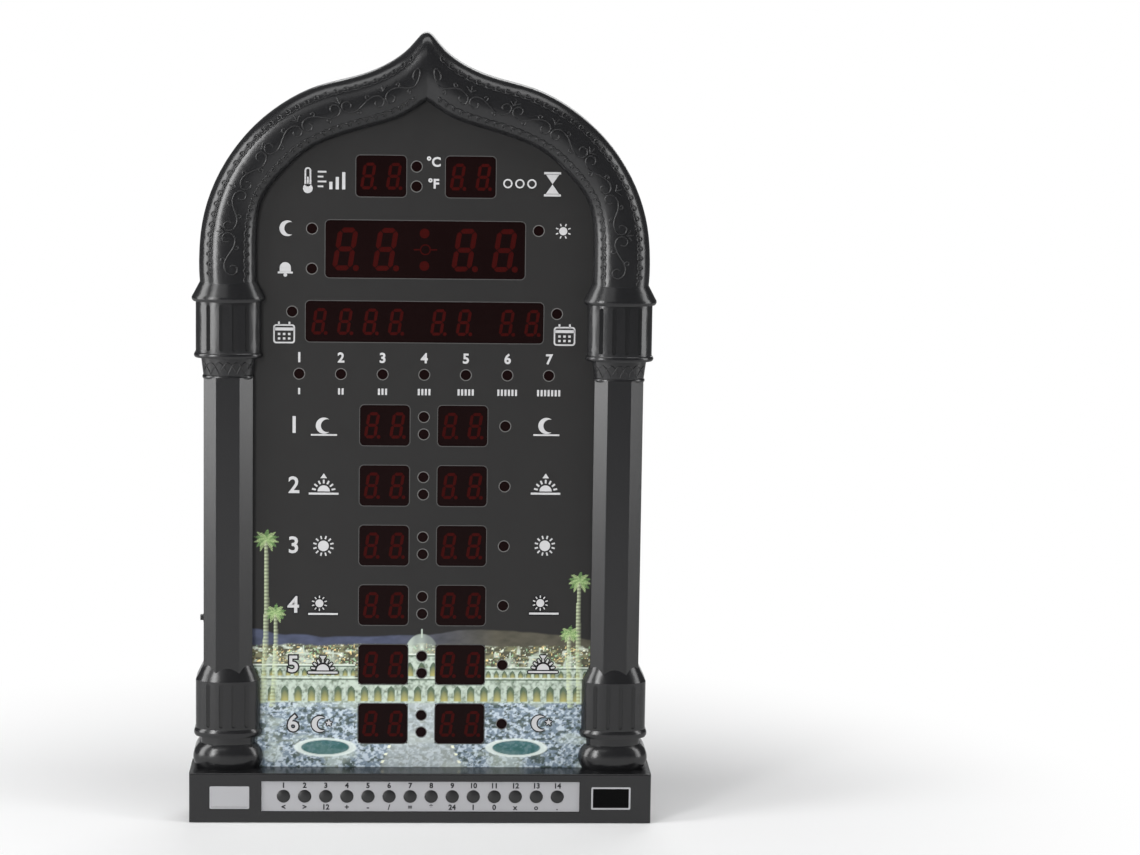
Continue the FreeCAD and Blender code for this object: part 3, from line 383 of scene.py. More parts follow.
def joined_text(items, name, y, mat, heavy):
    """items: (string, x, z, height). All strings become one piece."""
    verts, faces = [], []
    for i, (string, x, z, height) in enumerate(items):
        mesh = text_mesh(string, x, z, height, y, name + str(i), heavy)
        start = len(verts)
        verts += [tuple(v.co) for v in mesh.vertices]
        faces += [[start + k for k in p.vertices] for p in mesh.polygons]
    mesh = bpy.data.meshes.new(name)
    mesh.from_pydata(verts, [], faces)
    mesh.materials.append(mat)
    return add_to_case(name, mesh)


print("text helper ready")

# %% Sun, moon and star
def sun(ink, x, z, r, first=0, last=360, rays=12):
    ink.disc(x, z, r * 0.52, first, last, 24)
    for i in range(rays):
        turn = first + (last - first) * (i + 0.5) / rays
        ink.bar(*polar(x, z, r * 0.68, turn), *polar(x, z, r, turn), r * 0.15)


def crescent(ink, x, z, r):
    """A row of four-sided slices between a big round and a smaller one set off to the right."""
    steps = 25
    outer = [polar(x, z, r, turn) for turn in np.linspace(50, 310, steps + 1)]
    inner = [polar(x + 0.42 * r, z, 0.8 * r, turn) for turn in np.linspace(75, 285, 20)]
    for k in range(steps):
        near, far = inner[k * 19 // steps], inner[(k + 1) * 19 // steps]
        ink.poly([outer[k], outer[k + 1], far, near])


def star(ink, x, z, r):
    pts = [polar(x, z, r if i % 2 == 0 else r * 0.42, 90 + 36 * i) for i in range(10)]
    for i in range(10):
        ink.poly([(x, z), pts[i], pts[(i + 1) % 10]])


def row_sign(ink, index, x, z):
    """Moon, rising sun, high sun, low sun, setting sun, moon and star."""
    if index == 0:
        crescent(ink, x, z, 4.4)
        ink.bar(x - 7, z - 5, x + 7, z - 5, 0.9)
    elif index in (1, 4):
        sun(ink, x, z - 3.0, 6.4, 0, 180, 7)
        ink.bar(x - 8, z - 4.2, x + 8, z - 4.2, 1.1)
        way = 1 if index == 1 else -1
        ink.poly([(x - 1.8, z + 4.6 - way * 0.4), (x + 1.8, z + 4.6 - way * 0.4), (x, z + 4.6 + way * 2.2)])
    elif index == 2:
        sun(ink, x, z, 5.6)
    elif index == 3:
        sun(ink, x - 2, z + 1.2, 4.2, rays=10)
        ink.bar(x - 8, z - 4.6, x + 8, z - 4.6, 1.1)
    else:
        crescent(ink, x - 1.5, z, 4.4)
        star(ink, x + 3.4, z + 0.6, 2.0)


print("six row signs")

# %% Bell, calendar, thermometer and hourglass
def bell(ink, x, z):
    ink.disc(x, z + 1.4, 3.0, 0, 180, 14)
    ink.rect(x, z + 0.4, 6.0, 2.2)
    ink.rect(x, z - 1.1, 8.0, 1.0)
    ink.disc(x, z - 2.4, 1.0, steps=12)


def calendar(ink, x, z):
    ink.band(rounded_rect(x, z, 10.0, 8.6, 1.0), rounded_rect(x, z, 11.6, 10.2, 1.6))
    ink.bar(x - 5.4, z + 2.6, x + 5.4, z + 2.6, 1.6)
    for k in range(6):
        ink.rect(x - 2.7 + (k % 3) * 2.7, z - 0.1 - (k // 3) * 2.4, 1.3, 1.2)
    for side in (-1, 1):
        ink.rect(x + side * 2.8, z + 5.6, 1.0, 1.8)


def thermometer(ink, x, z):
    """A tube with a bulb, a scale beside it and four rising bars."""
    ink.band(rounded_rect(x, z, 1.8, 8.4, 0.9), rounded_rect(x, z, 3.6, 10.2, 1.8))
    ink.disc(x, z - 6.1, 2.6)
    ink.rect(x, z - 2.4, 0.9, 5.0)
    for k in range(4):
        ink.bar(x + 5.2, z - 5.0 + 2.6 * k, x + 5.2 + (4.6 if k % 2 else 3.0), z - 5.0 + 2.6 * k, 0.9)
    for k in range(3):
        ink.bar(x + 12.2 + k * 3.4, z - 6.5, x + 12.2 + k * 3.4, z - 2.5 + 2.6 * k, 1.7)


def hourglass(ink, x, z):
    """Two triangles between two bars, with three small rings to the left."""
    ink.poly([(x - 3.5, z + 5.1), (x + 3.5, z + 5.1), (x, z + 0.1)])
    ink.poly([(x, z - 0.1), (x + 3.5, z - 5.1), (x - 3.5, z - 5.1)])
    for side in (1, -1):
        ink.bar(x - 4.5, z + side * 5.9, x + 4.5, z + side * 5.9, 1.2)
    for k in range(3):
        ink.ring(x - 23.8 + k * 6.4, z + 0.1, 1.7, 2.5, 20)


print("dial signs ready")

# %% Lay out the signs and numbers
NUMBER_X, NUMBER_HEIGHT, DAY_HEIGHT, UNIT_HEIGHT = -69.5, 8.9, 5.2, 4.9
SIGN_PLACES = ((-53.5, -0.4), (66.0, 0.4))
FIRST_ON_PICTURE = 3
EDGE = 0.7
marks = Ink("dial_signs", PRINT_Y, ink_mat)
edges = Ink("sign_edges", EDGE_Y, dark_ink_mat)
for i, z in enumerate(ROW_Z):
    for x, rise in SIGN_PLACES:
        row_sign(marks, i, x, z + rise)
        if i >= FIRST_ON_PICTURE:
            for step in range(8):
                row_sign(edges, i, *polar(x, z + rise, EDGE, 45 * step))
for i, x in enumerate(DAY_X):
    for k in range(i + 1):
        marks.rect(x + (k - i / 2) * 1.9, DAY_Z - 9.4, 1.1, 3.4)
crescent(marks, -73.5, MAIN_Z + MODE_RISE, 4.2)
bell(marks, -74.5, MAIN_Z - 11.8)
sun(marks, 73.5, MAIN_Z + MODE_RISE, 4.2, rays=8)
for side in (-1, 1):
    calendar(marks, side * 75.0, DATE_Z - 6.9)
thermometer(marks, -62.7, TOP_Z - 0.8)
hourglass(marks, 67.4, TOP_Z - 3.3)
marks.make()
edges.make()

numbers = [(str(i + 1), NUMBER_X, z - 0.4, NUMBER_HEIGHT) for i, z in enumerate(ROW_Z)]
row_numbers = numbers[FIRST_ON_PICTURE:]
numbers += [(str(i + 1), x, DAY_Z + 8.6, DAY_HEIGHT) for i, x in enumerate(DAY_X)]
numbers += [("°C", 4.0, TOP_Z + 7.6, UNIT_HEIGHT), ("°F", 4.0, TOP_Z - 4.0, UNIT_HEIGHT)]
joined_text(numbers, "dial_numbers", PRINT_Y, ink_mat, heavy=0.22)
joined_text(row_numbers, "number_edges", EDGE_Y, dark_ink_mat, heavy=1.1)
print("signs", len(marks.faces), "numbers", len(numbers))

# %% [markdown]
# ## Night picture on the lower dial
# The foot of the dial carries a printed night view. This one is made by rule: far hills from
# summed waves, a pale arcade with small domes, lamps on a cool ground, and palm trees at the
# sides. It is painted into a fine grid just in front of the dial, left open at the windows. A grid
# with a colour at each corner keeps its print when the model is handed on, with no image file.

# %% Soft random fields and blending
NOISE_CELLS = 256


def value_noise(x, z, seed):
    """Smooth random field: random values on a grid, blended."""
    table = np.random.default_rng(seed).random((NOISE_CELLS, NOISE_CELLS))
    xi, zi = np.floor(x).astype(int), np.floor(z).astype(int)
    fx, fz = x - xi, z - zi
    fx, fz = fx * fx * (3 - 2 * fx), fz * fz * (3 - 2 * fz)
    x0, z0 = xi % NOISE_CELLS, zi % NOISE_CELLS
    x1, z1 = (xi + 1) % NOISE_CELLS, (zi + 1) % NOISE_CELLS
    lower = table[x0, z0] * (1 - fx) + table[x1, z0] * fx
    upper = table[x0, z1] * (1 - fx) + table[x1, z1] * fx
    return lower * (1 - fz) + upper * fz


def fractal(x, z, seed, octaves=4):
    total = sum(value_noise(x * 2 ** k, z * 2 ** k, seed + k) / 2 ** (k + 1) for k in range(octaves))
    return total / (1 - 0.5 ** octaves)


def blend_to(base, color, amount):
    return base * (1 - amount[..., None]) + np.array(color) * amount[..., None]


def soft(values, edge, width=0.8):
    """0 to 1 as values rise past the edge."""
    return np.clip((values - edge) / width + 0.5, 0, 1)


print("a random field at one point", round(float(fractal(np.zeros(1), np.zeros(1), 3)[0]), 3))

# %% Hills, town and court
HILL_Z, TOWN_Z, COURT_Z = 98, 93, 63
COOL_HILL, WARM_HILL = (0.06, 0.07, 0.115), (0.075, 0.07, 0.052)
TOWN_BASE, TOWN_GREEN, TOWN_PALE = (0.075, 0.075, 0.05), (0.22, 0.22, 0.12), (0.50, 0.55, 0.47)
LAMP_COLORS = ((33, (0.95, 0.72, 0.32)), (34, (0.85, 0.90, 0.75)), (35, (0.35, 0.60, 0.35)))
COURT_BASE, COURT_PALE, COURT_DARK = (0.19, 0.25, 0.31), (0.55, 0.63, 0.70), (0.05, 0.075, 0.065)
COURT_POOLS, WALK_PALE, WALK_LAMPS = (0.60, 0.68, 0.60), (0.48, 0.52, 0.50), (0.88, 0.90, 0.72)


def paint_ground(x, z):
    """Dial, hills, town and court at points given in millimetres."""
    out = np.ones(x.shape + (3,)) * DIAL_GREY
    ridge = HILL_Z + 6 * fractal(x / 31 + 9, x * 0 + 0.5, 3) + 2.5 * np.sin(x / 23.0)
    hill = soft(ridge, z)[..., None]
    side = soft(x, 10, 60)[..., None]
    tone = np.array(COOL_HILL) * (1 - side) + np.array(WARM_HILL) * side
    tone = tone * (0.65 + 0.7 * fractal(x / 5 + 30, z / 2.5, 11))[..., None]
    out = out * (1 - hill) + tone * hill
    town = soft(TOWN_Z + 3 * fractal(x / 14, x * 0 + 4.0, 6), z, 1.5)
    out = blend_to(out, TOWN_BASE, town)
    out = blend_to(out, TOWN_GREEN, town * soft(value_noise(x / 2.4, z / 1.0, 21), 0.55, 0.2) * 0.8)
    out = blend_to(out, TOWN_PALE, town * soft(value_noise(x / 3.1 + 5, z / 1.5, 22), 0.72, 0.1))
    for seed, color in LAMP_COLORS:
        out = blend_to(out, color, town * soft(value_noise(x / 0.85, z / 0.8, seed), 0.86, 0.06))
    court = soft(COURT_Z, z)
    out = blend_to(out, COURT_BASE, court)
    out = blend_to(out, COURT_PALE, court * soft(fractal(x / 1.4, z / 1.1, 31, 3), 0.53, 0.12) * 0.9)
    out = blend_to(out, COURT_DARK, court * soft(fractal(x / 1.9, z / 1.3, 44, 3), 0.60, 0.08) * 0.9)
    out = blend_to(out, COURT_POOLS, court * soft(fractal(x / 16 + 3, z / 7, 52), 0.60, 0.15) * 0.45)
    walk = 7 + (COURT_Z - z) * 0.42
    out = blend_to(out, WALK_PALE, court * soft(walk, np.abs(x), 1.0) * 0.55)
    return blend_to(out, WALK_LAMPS, court * (np.abs(np.abs(x) - walk) < 0.8) * (z % 4.2 < 1.3))


print("the court ends at z", COURT_Z, "the town at about", TOWN_Z)

# %% Arcades, domes and basins
ARCADES = ((77, 84, -92, -36, 4.4), (76, 83, 34, 92, 4.4), (63, 77, -92, 92, 7.2), (77, 90, -16, 16, 6.4))
DOMES = ((-64, 84, 6.5), (-48, 84, 4.2), (-80, 84, 4.2), (64, 83, 6.5), (48, 83, 4.2), (81, 83, 4.2),
         (0, 90, 9.0), (-26, 77, 4.6), (26, 77, 4.6))
BASIN_X, BASIN_Z, BASIN_HALF, BASIN_DEEP = 52, 38, 15.0, 4.6
STONE, CORNICE, BASIN_EDGE = (0.50, 0.58, 0.50), (0.72, 0.78, 0.70), (0.75, 0.82, 0.78)
SHADE, LAMPLIGHT, WATER = (0.05, 0.09, 0.05), (0.66, 0.58, 0.18), (0.03, 0.12, 0.12)


def paint_arcade(x, z, out, base, top, x0, x1, bay):
    """A lit wall with one pointed opening in each bay, a dark line and a pale edge at its top."""
    inside = (z > base) & (z < top) & (x > x0) & (x < x1)
    out = blend_to(out, SHADE, inside * 0.9)
    out = blend_to(out, STONE, inside * np.clip(1.9 * fractal(x / 1.3, z / 1.5, 71) - 0.15, 0.1, 1))
    across = (x - x0) % bay - bay / 2
    half = bay * 0.30
    crown = base + (top - base) * 0.45 + half * 1.3 * (1 - np.clip(np.abs(across) / half, 0, 1) ** 1.6)
    arch = inside & (np.abs(across) < half) & (z < crown) & (z > base + 0.5)
    out = blend_to(out, SHADE, arch * 0.9)
    out = blend_to(out, LAMPLIGHT, arch * np.clip((crown - z) / (top - base) * 1.3 - 0.15, 0, 0.9))
    out = blend_to(out, SHADE, (inside & (np.abs(z - top + 1.3) < 0.4)) * 0.8)
    return blend_to(out, CORNICE, (inside & (z > top - 0.6)) * 0.8)


def paint_dome(x, z, out, cx, base, r):
    """A ribbed dome, lighter on its left, with a spire."""
    dome = soft(r, np.sqrt((x - cx) ** 2 + ((z - base) * 0.82) ** 2), 0.5) * (z > base)
    ribs = 0.86 + 0.14 * np.cos((x - cx) / r * 9)
    out = blend_to(out, STONE, dome * (0.55 + 0.4 * np.clip((cx - x) / r, -1, 1)) * ribs)
    spire = (np.abs(x - cx) < 0.4) & (z > base + r) & (z < base + r * 1.22 + 2.6)
    return blend_to(out, STONE, spire * 0.9)


def paint_buildings(x, z, out):
    """Lit arcades with small domes and two round basins, in pale green-white."""
    for arcade in ARCADES:
        out = paint_arcade(x, z, out, *arcade)
    for dome in DOMES:
        out = paint_dome(x, z, out, *dome)
    for cx in (-BASIN_X, BASIN_X):
        rim = np.sqrt(((x - cx) / BASIN_HALF) ** 2 + ((z - BASIN_Z) / BASIN_DEEP) ** 2)
        out = blend_to(out, WATER, soft(1, rim, 0.06) * 0.85)
        out = blend_to(out, BASIN_EDGE, soft(0.13, np.abs(rim - 1), 0.05) * 0.8)
    return out


print(len(ARCADES), "arcades", len(DOMES), "domes")

# %% Palms
PALMS = ((-85.5, 62, 152, 6.2), (86.5, 62, 130, 5.8), (-80.5, 60, 112, 5.2), (81.5, 60, 101, 5.0))
FRONDS = 11
BARK, DARK_LEAF, LIT_LEAF = (0.60, 0.68, 0.44), (0.16, 0.30, 0.10), (0.42, 0.56, 0.26)


def paint_palms(x, z, out):
    """Each palm: place of the trunk, its foot, its crown and the length of a frond."""
    for cx, foot, top, spread in PALMS:
        inward = -1 if cx > 0 else 1
        bend = cx + 1.6 * np.sin((z - foot) / (top - foot) * 2.2) * inward
        width = 1.9 - 0.9 * np.clip((z - foot) / (top - foot), 0, 1)
        trunk = (np.abs(x - bend) < width) & (z > foot) & (z < top)
        lit = np.clip((bend - x) / width * 0.5 + 0.6, 0.15, 1) * (0.7 + 0.3 * np.sin(z * 3.2))
        out = blend_to(out, BARK, trunk * lit)
        dx, dz = x - cx - 1.6 * math.sin(2.2) * inward, z - top
        for k in range(FRONDS):
            a = math.radians(-38 + k * 25.6)
            ux, uz = math.cos(a), math.sin(a)
            along = (dx * ux + dz * uz) / spread
            droop = 0.42 * along ** 2 * spread * (1 if abs(ux) > 0.2 else 0.3)
            across = (dx * -uz + dz * ux) + droop * (1 if ux > 0 else -1)
            leaf = (along > 0) & (along < 1)
            leaf = leaf & (np.abs(across) < 1.1 * np.sin(np.clip(along, 0, 1) * math.pi) + 0.12)
            tone = 0.6 + 0.3 * np.sign(np.sin(along * 46))
            out = blend_to(out, DARK_LEAF if k % 2 else LIT_LEAF, leaf * tone)
    return out


print(len(PALMS), "palms with", FRONDS, "fronds each")

# %% Paint the grid
CELL = 0.4
PICTURE_HALF, PICTURE_FOOT, PICTURE_TOP = 92.6, 25.5, 165.0
xs = np.arange(-PICTURE_HALF, PICTURE_HALF, CELL)
zs = np.arange(PICTURE_FOOT, PICTURE_TOP, CELL)
grid_x, grid_z = np.meshgrid(xs, zs, indexing="ij")
paint = paint_ground(grid_x, grid_z)
for layer in (paint_buildings, paint_palms):
    paint = layer(grid_x, grid_z, paint)
print("picture grid", paint.shape, "mean", np.round(paint.mean(axis=(0, 1)), 3))

# %% Lay the picture in front of the dial, open at the windows
LAMP_OPENING = 2.9
DIAL_FOOT = 26.9
NEAR_GREY = 0.003


def covered(x, z):
    """True where a window or a lamp hole is."""
    inside = np.zeros(x.shape, bool)
    for wx, wz, w, h in windows:
        inside |= (np.abs(x - wx) < w / 2) & (np.abs(z - wz) < h / 2)
    for lx, lz in lamps:
        inside |= (x - lx) ** 2 + (z - lz) ** 2 < LAMP_OPENING ** 2
    return inside


def picture_sheet():
    """The grid cells that aren't plain grey, with the print's colour at each corner."""
    ny = len(zs)
    verts = [(x * MM, PICTURE_Y * MM, z * MM) for x in xs for z in zs]
    mid_x, mid_z = grid_x[:-1, :-1] + CELL / 2, grid_z[:-1, :-1] + CELL / 2
    plain = np.abs(paint - np.array(DIAL_GREY)).max(axis=2) < NEAR_GREY
    empty = plain[:-1, :-1] & plain[1:, :-1] & plain[:-1, 1:] & plain[1:, 1:]
    keep = ~covered(mid_x, mid_z) & ~empty & (mid_z > DIAL_FOOT)
    faces = [(i * ny + j, (i + 1) * ny + j, (i + 1) * ny + j + 1, i * ny + j + 1)
             for i, j in zip(*np.nonzero(keep))]
    used = sorted({v for f in faces for v in f})
    place = {v: k for k, v in enumerate(used)}
    mesh = bpy.data.meshes.new("night_picture")
    mesh.from_pydata([verts[v] for v in used], [], [[place[v] for v in f] for f in faces])
    layer = mesh.color_attributes.new("print", "FLOAT_COLOR", "POINT")
    flat = paint.reshape(-1, 3)[used]
    layer.data.foreach_set("color", np.hstack([flat, np.ones((len(flat), 1))]).ravel())
    mesh.materials.append(dial_mat)
    return add_to_case("night_picture", mesh)


picture = picture_sheet()
print("picture cells", len(picture.data.polygons))

# %% [markdown]
# ## Cast scrolls on the arch
# The rim of the arch carries two rows of small running curls and, between them, a vine of long
# S-scrolls. In the mould they are engraved lines, so here each is a thin round bead laid on the
# shell. Their paths are drawn along and across the rim, then dropped onto the real surface, which
# is simpler than carving and follows the rim's slopes by itself.

# %% A path along the rim
SPRING_Z = 306
OUTER_HALF, OUTER_RISE = 120.2, 119.0
INNER_HALF, INNER_RISE = 89.8, 82.9
SPAN_STEPS = 24
OUTER = [(0.993, -0.151), (1.0, 0.0), (0.984, 0.159), (0.925, 0.339), (0.812, 0.518), (0.669, 0.652),
         (0.4825, 0.753), (0.2995, 0.804), (0.178, 0.854), (0.0765, 0.929), (0.0366, 0.9756),
         (0.0141, 0.9958), (0.0, 1.0)]
INNER = [(1.0, -0.217), (1.0, 0.0), (0.994, 0.205), (0.957, 0.374), (0.861, 0.516), (0.713, 0.666),
         (0.512, 0.770), (0.312, 0.835), (0.173, 0.885), (0.078, 0.941), (0.0367, 0.972),
         (0.014, 0.9897), (0.0, 1.0)]


def smooth_path(shape, half, rise):
    """A smooth curve through points given as shares of the arch's half width and rise."""
    points = np.array([(x * half, SPRING_Z + z * rise) for x, z in shape])
    padded = np.vstack([2 * points[0] - points[1], points, 2 * points[-1] - points[-2]])
    out = []
    for i in range(len(points) - 1):
        p0, p1, p2, p3 = padded[i:i + 4]
        for t in np.linspace(0, 1, SPAN_STEPS, endpoint=False):
            out.append(0.5 * (2 * p1 + (p2 - p0) * t + (2 * p0 - 5 * p1 + 4 * p2 - p3) * t * t
                              + (3 * p1 - p0 - 3 * p2 + p3) * t ** 3))
    out.append(points[-1])
    return np.array(out)


outer_edge = smooth_path(OUTER, OUTER_HALF, OUTER_RISE)
inner_edge = smooth_path(INNER, INNER_HALF, INNER_RISE)
middle_line = (outer_edge + inner_edge) / 2
step_length = np.linalg.norm(np.diff(middle_line, axis=0), axis=1)
run = np.concatenate([[0], np.cumsum(step_length)])
rim_length = run[-1]


def rim_xz(u, v):
    """u: millimetres along the middle of the rim from its foot; v: 0 at the inner edge, 1 at the outer."""
    k = np.interp(u, run, np.arange(len(run)))
    i = int(min(k, len(run) - 2))
    f = k - i
    a = inner_edge[i] * (1 - f) + inner_edge[i + 1] * f
    b = outer_edge[i] * (1 - f) + outer_edge[i + 1] * f
    return a + (b - a) * v


print("rim length", round(float(rim_length), 1))

# %% Beads laid on the shell
BEAD_LIFT = 0.1
CLEAR_IN_FRONT = -0.06
BEAD_ENDS = (0.55, 0.8)
shell_tree = BVHTree.FromObject(nodes["front_shell"], bpy.context.evaluated_depsgraph_get())


def drop(x, z, lift):
    """The shell's front surface at x, z in millimetres, raised by lift along the surface's slope."""
    spot, normal, _, _ = shell_tree.ray_cast(Vector((x * MM, CLEAR_IN_FRONT, z * MM)), Vector((0, 1, 0)))
    if spot is None:
        return None
    outward = normal.normalized() * (1 if normal.y < 0 else -1)
    return spot + outward * lift * MM


def beads(name, lines, radius, mat):
    """lines: lists of XZ points in millimetres. Makes one curve piece of round beads on the shell."""
    curve = bpy.data.curves.new(name, "CURVE")
    curve.dimensions = "3D"
    curve.bevel_depth = radius * MM
    curve.bevel_resolution = 1
    curve.use_fill_caps = True
    for line in lines:
        pts = [p for p in (drop(x, z, BEAD_LIFT) for x, z in line) if p is not None]
        if len(pts) < 2:
            continue
        spline = curve.splines.new("POLY")
        spline.points.add(len(pts) - 1)
        for k, p in enumerate(pts):
            spline.points[k].co = (p.x, p.y, p.z, 1)
            from_end = min(k, len(pts) - 1 - k)
            spline.points[k].radius = BEAD_ENDS[from_end] if from_end < len(BEAD_ENDS) else 1.0
    curve.materials.append(mat)
    return add_to_case(name, curve)


print("beads lie", BEAD_LIFT, "mm above the shell")

# %% Small running curls along both edges
FOOT = 5.5
RIM_WIDTH = 30.0
TIP_MARGIN = 0.4
CURL_PITCH, CURL_BEAD = 5.1, 0.42
CURL_START, CURL_END = FOOT + 3, 4
CURL_ROWS = ((9.7, -1, 1.75), (-10.3, 1, 1.6))


def spiral(cu, cw, size, start, turns, hand, steps):
    """Points of a spiral that winds inwards, in millimetres along and across the rim."""
    pts = []
    for k in range(steps + 1):
        s = k / steps
        a = math.radians(start) + hand * s * turns * 2 * math.pi
        r = size * (1 - 0.7 * s)
        pts.append((cu + r * math.cos(a), cw + r * math.sin(a)))
    return pts


def place_rim(points, side):
    """side: 1 for the right limb of the arch, -1 for the left."""
    out = []
    for u, w in points:
        x, z = rim_xz(min(max(u, 0), rim_length - TIP_MARGIN), 0.5 + w / RIM_WIDTH)
        out.append((side * x, z))
    return out


curl_lines = []
for w, hand, size in CURL_ROWS:
    for i in range(int((rim_length - FOOT - CURL_END) / CURL_PITCH)):
        u = CURL_START + i * CURL_PITCH
        tail = [(u - 4.6, w + hand * 1.5), (u - 3.2, w + hand * 1.75)]
        shape = spiral(u, w, size, 180 - hand * 30, 1.15, -hand, 14)
        curl_lines += [place_rim(tail + shape, side) for side in (-1, 1)]
beads("rim_curls", curl_lines, CURL_BEAD, shell_mat)
print("curls", len(curl_lines))

# %% The vine of S-scrolls between them
SCROLL_COUNT = 7
SCROLL_STEPS = 44
SCROLL_REACH = 2.0
VINE_START, VINE_SPARE = FOOT + 2, 6
VINE_W, VINE_TILT = -1.2, 0.2
VINE_BEAD, BUD_BEAD = 0.46, 0.6


def s_scroll(u, w, size, tilt, hand):
    """One S whose bend tightens evenly towards both ends, so that each end winds into a spiral."""
    half = [(0.0, 0.0)]
    step = SCROLL_REACH / SCROLL_STEPS
    for k in range(SCROLL_STEPS):
        s = (k + 0.5) * step
        half.append(polar(*half[-1], step, 90 * s * s - 45))
    line = [(-x, -y) for x, y in half[:0:-1]] + half
    c, d = math.cos(tilt), math.sin(tilt)
    return [(u + size * (x * c - y * d), w + hand * size * (x * d + y * c)) for x, y in line]


def bud_fan(u):
    """Three short petals that spread towards the outer edge."""
    return [[(u, 2.4), (u + lean * 1.5, 4.0), (u + lean * 2.9, 6.4 - abs(lean) * 1.5)] for lean in (-1, 0, 1)]


vine_lines = []
bud_lines = []
length = (rim_length - FOOT - VINE_SPARE) / SCROLL_COUNT
for i in range(SCROLL_COUNT):
    u = VINE_START + (i + 0.5) * length
    flip = 1 if i % 2 == 0 else -1
    lines = [s_scroll(u, VINE_W, length / 1.98, VINE_TILT, flip)]
    for end in (-1, 1):
        lines.append(spiral(u + end * 3.4, VINE_W - end * flip * 3.6, 1.5, 90 * end * flip, 0.9, flip, 10))
    buds = bud_fan(u - length / 2) if i else []
    for side in (-1, 1):
        vine_lines += [place_rim(line, side) for line in lines]
        bud_lines += [place_rim(bud, side) for bud in buds]
beads("rim_vine", vine_lines, VINE_BEAD, shell_mat)
beads("rim_buds", bud_lines, BUD_BEAD, shell_mat)
print("vine lines", len(vine_lines), "bud petals", len(bud_lines))

# %% [markdown]
# ## Crossing arches under the capitals
# The bell under each capital has a band of crossing pointed arches, an old and common pattern.
# Every arch is a bead from the foot of the bell up and over to the next but one. It uses the same
# beads as the rim, because both patterns are cast with the shell and share its finish.

# %% Lattice on the bells
BELL_X, BELL_HALF, BELL_BEAD = 104.6, 13.6, 0.3
ARCH_FOOT, ARCH_RISE, ARCH_PITCH = 242.4, 6.6, 4.6
bell_lines = []
for side in (-1, 1):
    for k in range(-4, 4):
        line = []
        for t in np.linspace(0, 1, 15):
            x = (k + 2 * t) * ARCH_PITCH
            z = ARCH_FOOT + ARCH_RISE * (1 - abs(2 * t - 1) ** 1.7)
            if abs(x) < BELL_HALF:
                line.append((side * BELL_X + x, z))
        bell_lines.append(line)
beads("bell_lattice", bell_lines, BELL_BEAD, shell_mat)
print("bell arches", len(bell_lines))

# %% [markdown]
# ## Marks round the keys
# The silver strip carries a tiny mark above and below every key: the key's number and a plain
# sign. They are printed in black and made as the dial's numbers are. They are only a little
# swollen, because at this height more would close the loops of a 6 or a 9.

# %% Strip marks
STRIP_Y, STRIP_LIFT = -19.2, 0.02
KEY_COUNT, KEY_SPAN = 14, 148
MARK_HEIGHT, NUMBERS_Z, SIGNS_Z = 2.8, 20.4, 8.4
SIGNS = ["<", ">", "12", "+", "-", "/", "=", "*", "24", "1", "0", "x", "o", "."]
key_x = [(i - (KEY_COUNT - 1) / 2) * KEY_SPAN / (KEY_COUNT - 1) for i in range(KEY_COUNT)]
items = [(str(i + 1), x, NUMBERS_Z, MARK_HEIGHT) for i, x in enumerate(key_x)]
items += [(sign, x, SIGNS_Z, MARK_HEIGHT) for sign, x in zip(SIGNS, key_x)]
joined_text(items, "strip_marks", STRIP_Y - STRIP_LIFT, dark_ink_mat, heavy=0.16)
print("strip marks", len(items))

# %% [markdown]
# ## Studio
# Glossy black shows what it mirrors more than its own colour, so the lamps are large soft panels.
# A tall one on each side, one in front of the left side and a strip above give the long highlights
# down the columns. A weak lamp in front and one behind fill in. The floor is plain white near the
# clock. Further off it and the world are pure white to the camera alone, so they put no more light
# on the object.

# %% White floor
PLAIN_RADIUS, WHITE_RADIUS = 0.16, 0.42
floor_mat = finish("floor_white", (0.90, 0.90, 0.90), 0.7, vary=0.005, scale=4)
tree = floor_mat.node_tree
coords = next(n for n in tree.nodes if n.bl_idname == "ShaderNodeTexCoord")
distance = tree.nodes.new("ShaderNodeVectorMath")
distance.operation = "LENGTH"
tree.links.new(coords.outputs["Object"], distance.inputs[0])
fade = tree.nodes.new("ShaderNodeMapRange")
fade.interpolation_type = "SMOOTHSTEP"
fade.inputs["From Min"].default_value = PLAIN_RADIUS
fade.inputs["From Max"].default_value = WHITE_RADIUS
tree.links.new(distance.outputs["Value"], fade.inputs["Value"])
glow = tree.nodes.new("ShaderNodeEmission")
glow.inputs["Strength"].default_value = 1.0
blend = tree.nodes.new("ShaderNodeMixShader")
seen = tree.nodes.new("ShaderNodeLightPath")
only_seen = tree.nodes.new("ShaderNodeMath")
only_seen.operation = "MULTIPLY"
tree.links.new(fade.outputs["Result"], only_seen.inputs[0])
tree.links.new(seen.outputs["Is Camera Ray"], only_seen.inputs[1])
tree.links.new(only_seen.outputs["Value"], blend.inputs["Fac"])
tree.links.new(tree.nodes["Principled BSDF"].outputs["BSDF"], blend.inputs[1])
tree.links.new(glow.outputs["Emission"], blend.inputs[2])
tree.links.new(blend.outputs["Shader"], tree.nodes["Material Output"].inputs["Surface"])
bpy.ops.mesh.primitive_plane_add(size=12, location=(0, 0, -0.0002))
floor = bpy.context.object
floor.name = "floor"
floor.data.materials.append(floor_mat)
print("floor is plain to", PLAIN_RADIUS, "m and white from", WHITE_RADIUS, "m")

# %% Lamps
def area_light(name, place, aim_z, width, height, power):
    """A soft panel that faces the clock's middle at the height aim_z; lengths in metres."""
    data = bpy.data.lights.new(name, "AREA")
    data.shape = "RECTANGLE"
    data.size, data.size_y = width, height
    data.energy = power
    lamp = bpy.data.objects.new(name, data)
    bpy.context.collection.objects.link(lamp)
    lamp.location = place
    lamp.rotation_euler = (Vector((0, 0, aim_z)) - Vector(place)).to_track_quat("-Z", "Y").to_euler()
    return lamp


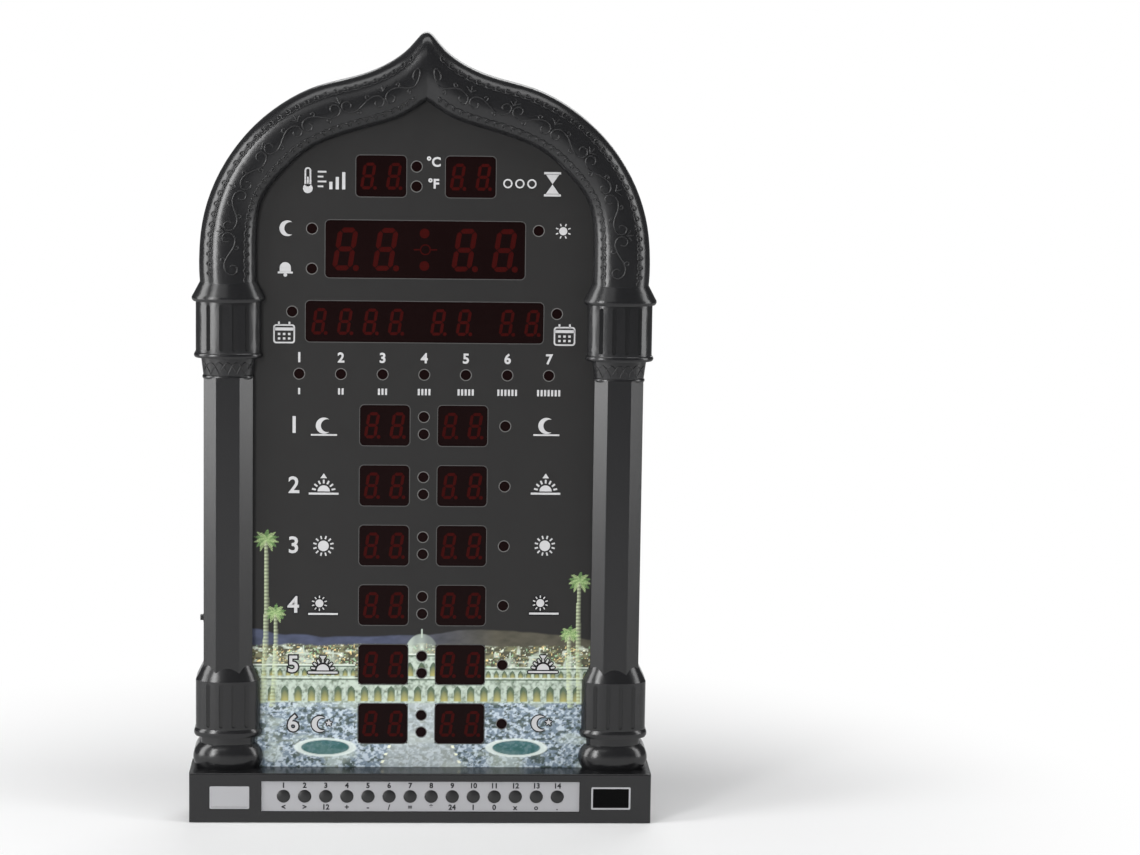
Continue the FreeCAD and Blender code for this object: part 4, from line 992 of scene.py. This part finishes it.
lights = [area_light("left", (-1.25, -0.45, 0.5), 0.22, 0.5, 1.5, 17),
          area_light("right", (1.3, -0.5, 0.5), 0.22, 0.4, 1.3, 9),
          area_light("top", (0, -0.35, 1.35), 0.25, 1.5, 0.4, 6),
          area_light("front", (-0.7, -2.3, 1.5), 0.2, 0.8, 0.6, 1.5),
          area_light("left_front", (-1.15, -1.6, 0.6), 0.25, 0.35, 1.2, 19),
          area_light("back", (0.4, 1.5, 1.0), 0.2, 1.4, 0.8, 9)]
print("lights", len(lights))

# %% World
WORLD_STRENGTH = 0.17
world = bpy.data.worlds.new("studio")
bpy.context.scene.world = world
world.use_nodes = True
tree = world.node_tree
back = tree.nodes["Background"]
back.inputs["Color"].default_value = (0.92, 0.93, 0.95, 1)
back.inputs["Strength"].default_value = WORLD_STRENGTH
white = tree.nodes.new("ShaderNodeBackground")
white.inputs["Color"].default_value = (1, 1, 1, 1)
white.inputs["Strength"].default_value = 1.0
path = tree.nodes.new("ShaderNodeLightPath")
choose = tree.nodes.new("ShaderNodeMixShader")
tree.links.new(path.outputs["Is Camera Ray"], choose.inputs["Fac"])
tree.links.new(back.outputs["Background"], choose.inputs[1])
tree.links.new(white.outputs["Background"], choose.inputs[2])
tree.links.new(choose.outputs["Shader"], tree.nodes["World Output"].inputs["Surface"])
bpy.context.scene.view_settings.view_transform = "Standard"
print("world lights the object at", WORLD_STRENGTH)

# %% [markdown]
# ## Camera
# The camera stands 1.8 m in front, a little above the clock, and looks slightly down and to the
# right, as in the photograph. Its place, turn and focal length were fitted to the outline together.

# %% Camera
FRAME_WIDTH, FOCAL_LENGTH, SENSOR = 1140, 3410.756, 36.0
CAMERA_AT = (-0.015388, -1.82094, 0.469604)
YAW, PITCH, ROLL = math.radians(2.964), math.radians(7.977), math.radians(0.866)
camera_data = bpy.data.cameras.new("camera")
camera = bpy.data.objects.new("camera", camera_data)
bpy.context.collection.objects.link(camera)
camera_data.sensor_width = SENSOR
camera_data.lens = FOCAL_LENGTH / FRAME_WIDTH * SENSOR
forward = Vector((math.sin(YAW) * math.cos(PITCH), math.cos(YAW) * math.cos(PITCH), -math.sin(PITCH)))
level = Vector((math.cos(YAW), -math.sin(YAW), 0))
upright = level.cross(forward)
right = level * math.cos(ROLL) + upright * math.sin(ROLL)
up = upright * math.cos(ROLL) - level * math.sin(ROLL)
turn = Matrix((right, up, -forward)).transposed()
camera.matrix_world = Matrix.Translation(CAMERA_AT) @ turn.to_4x4()
bpy.context.scene.camera = camera
print("lens", round(camera_data.lens, 2))
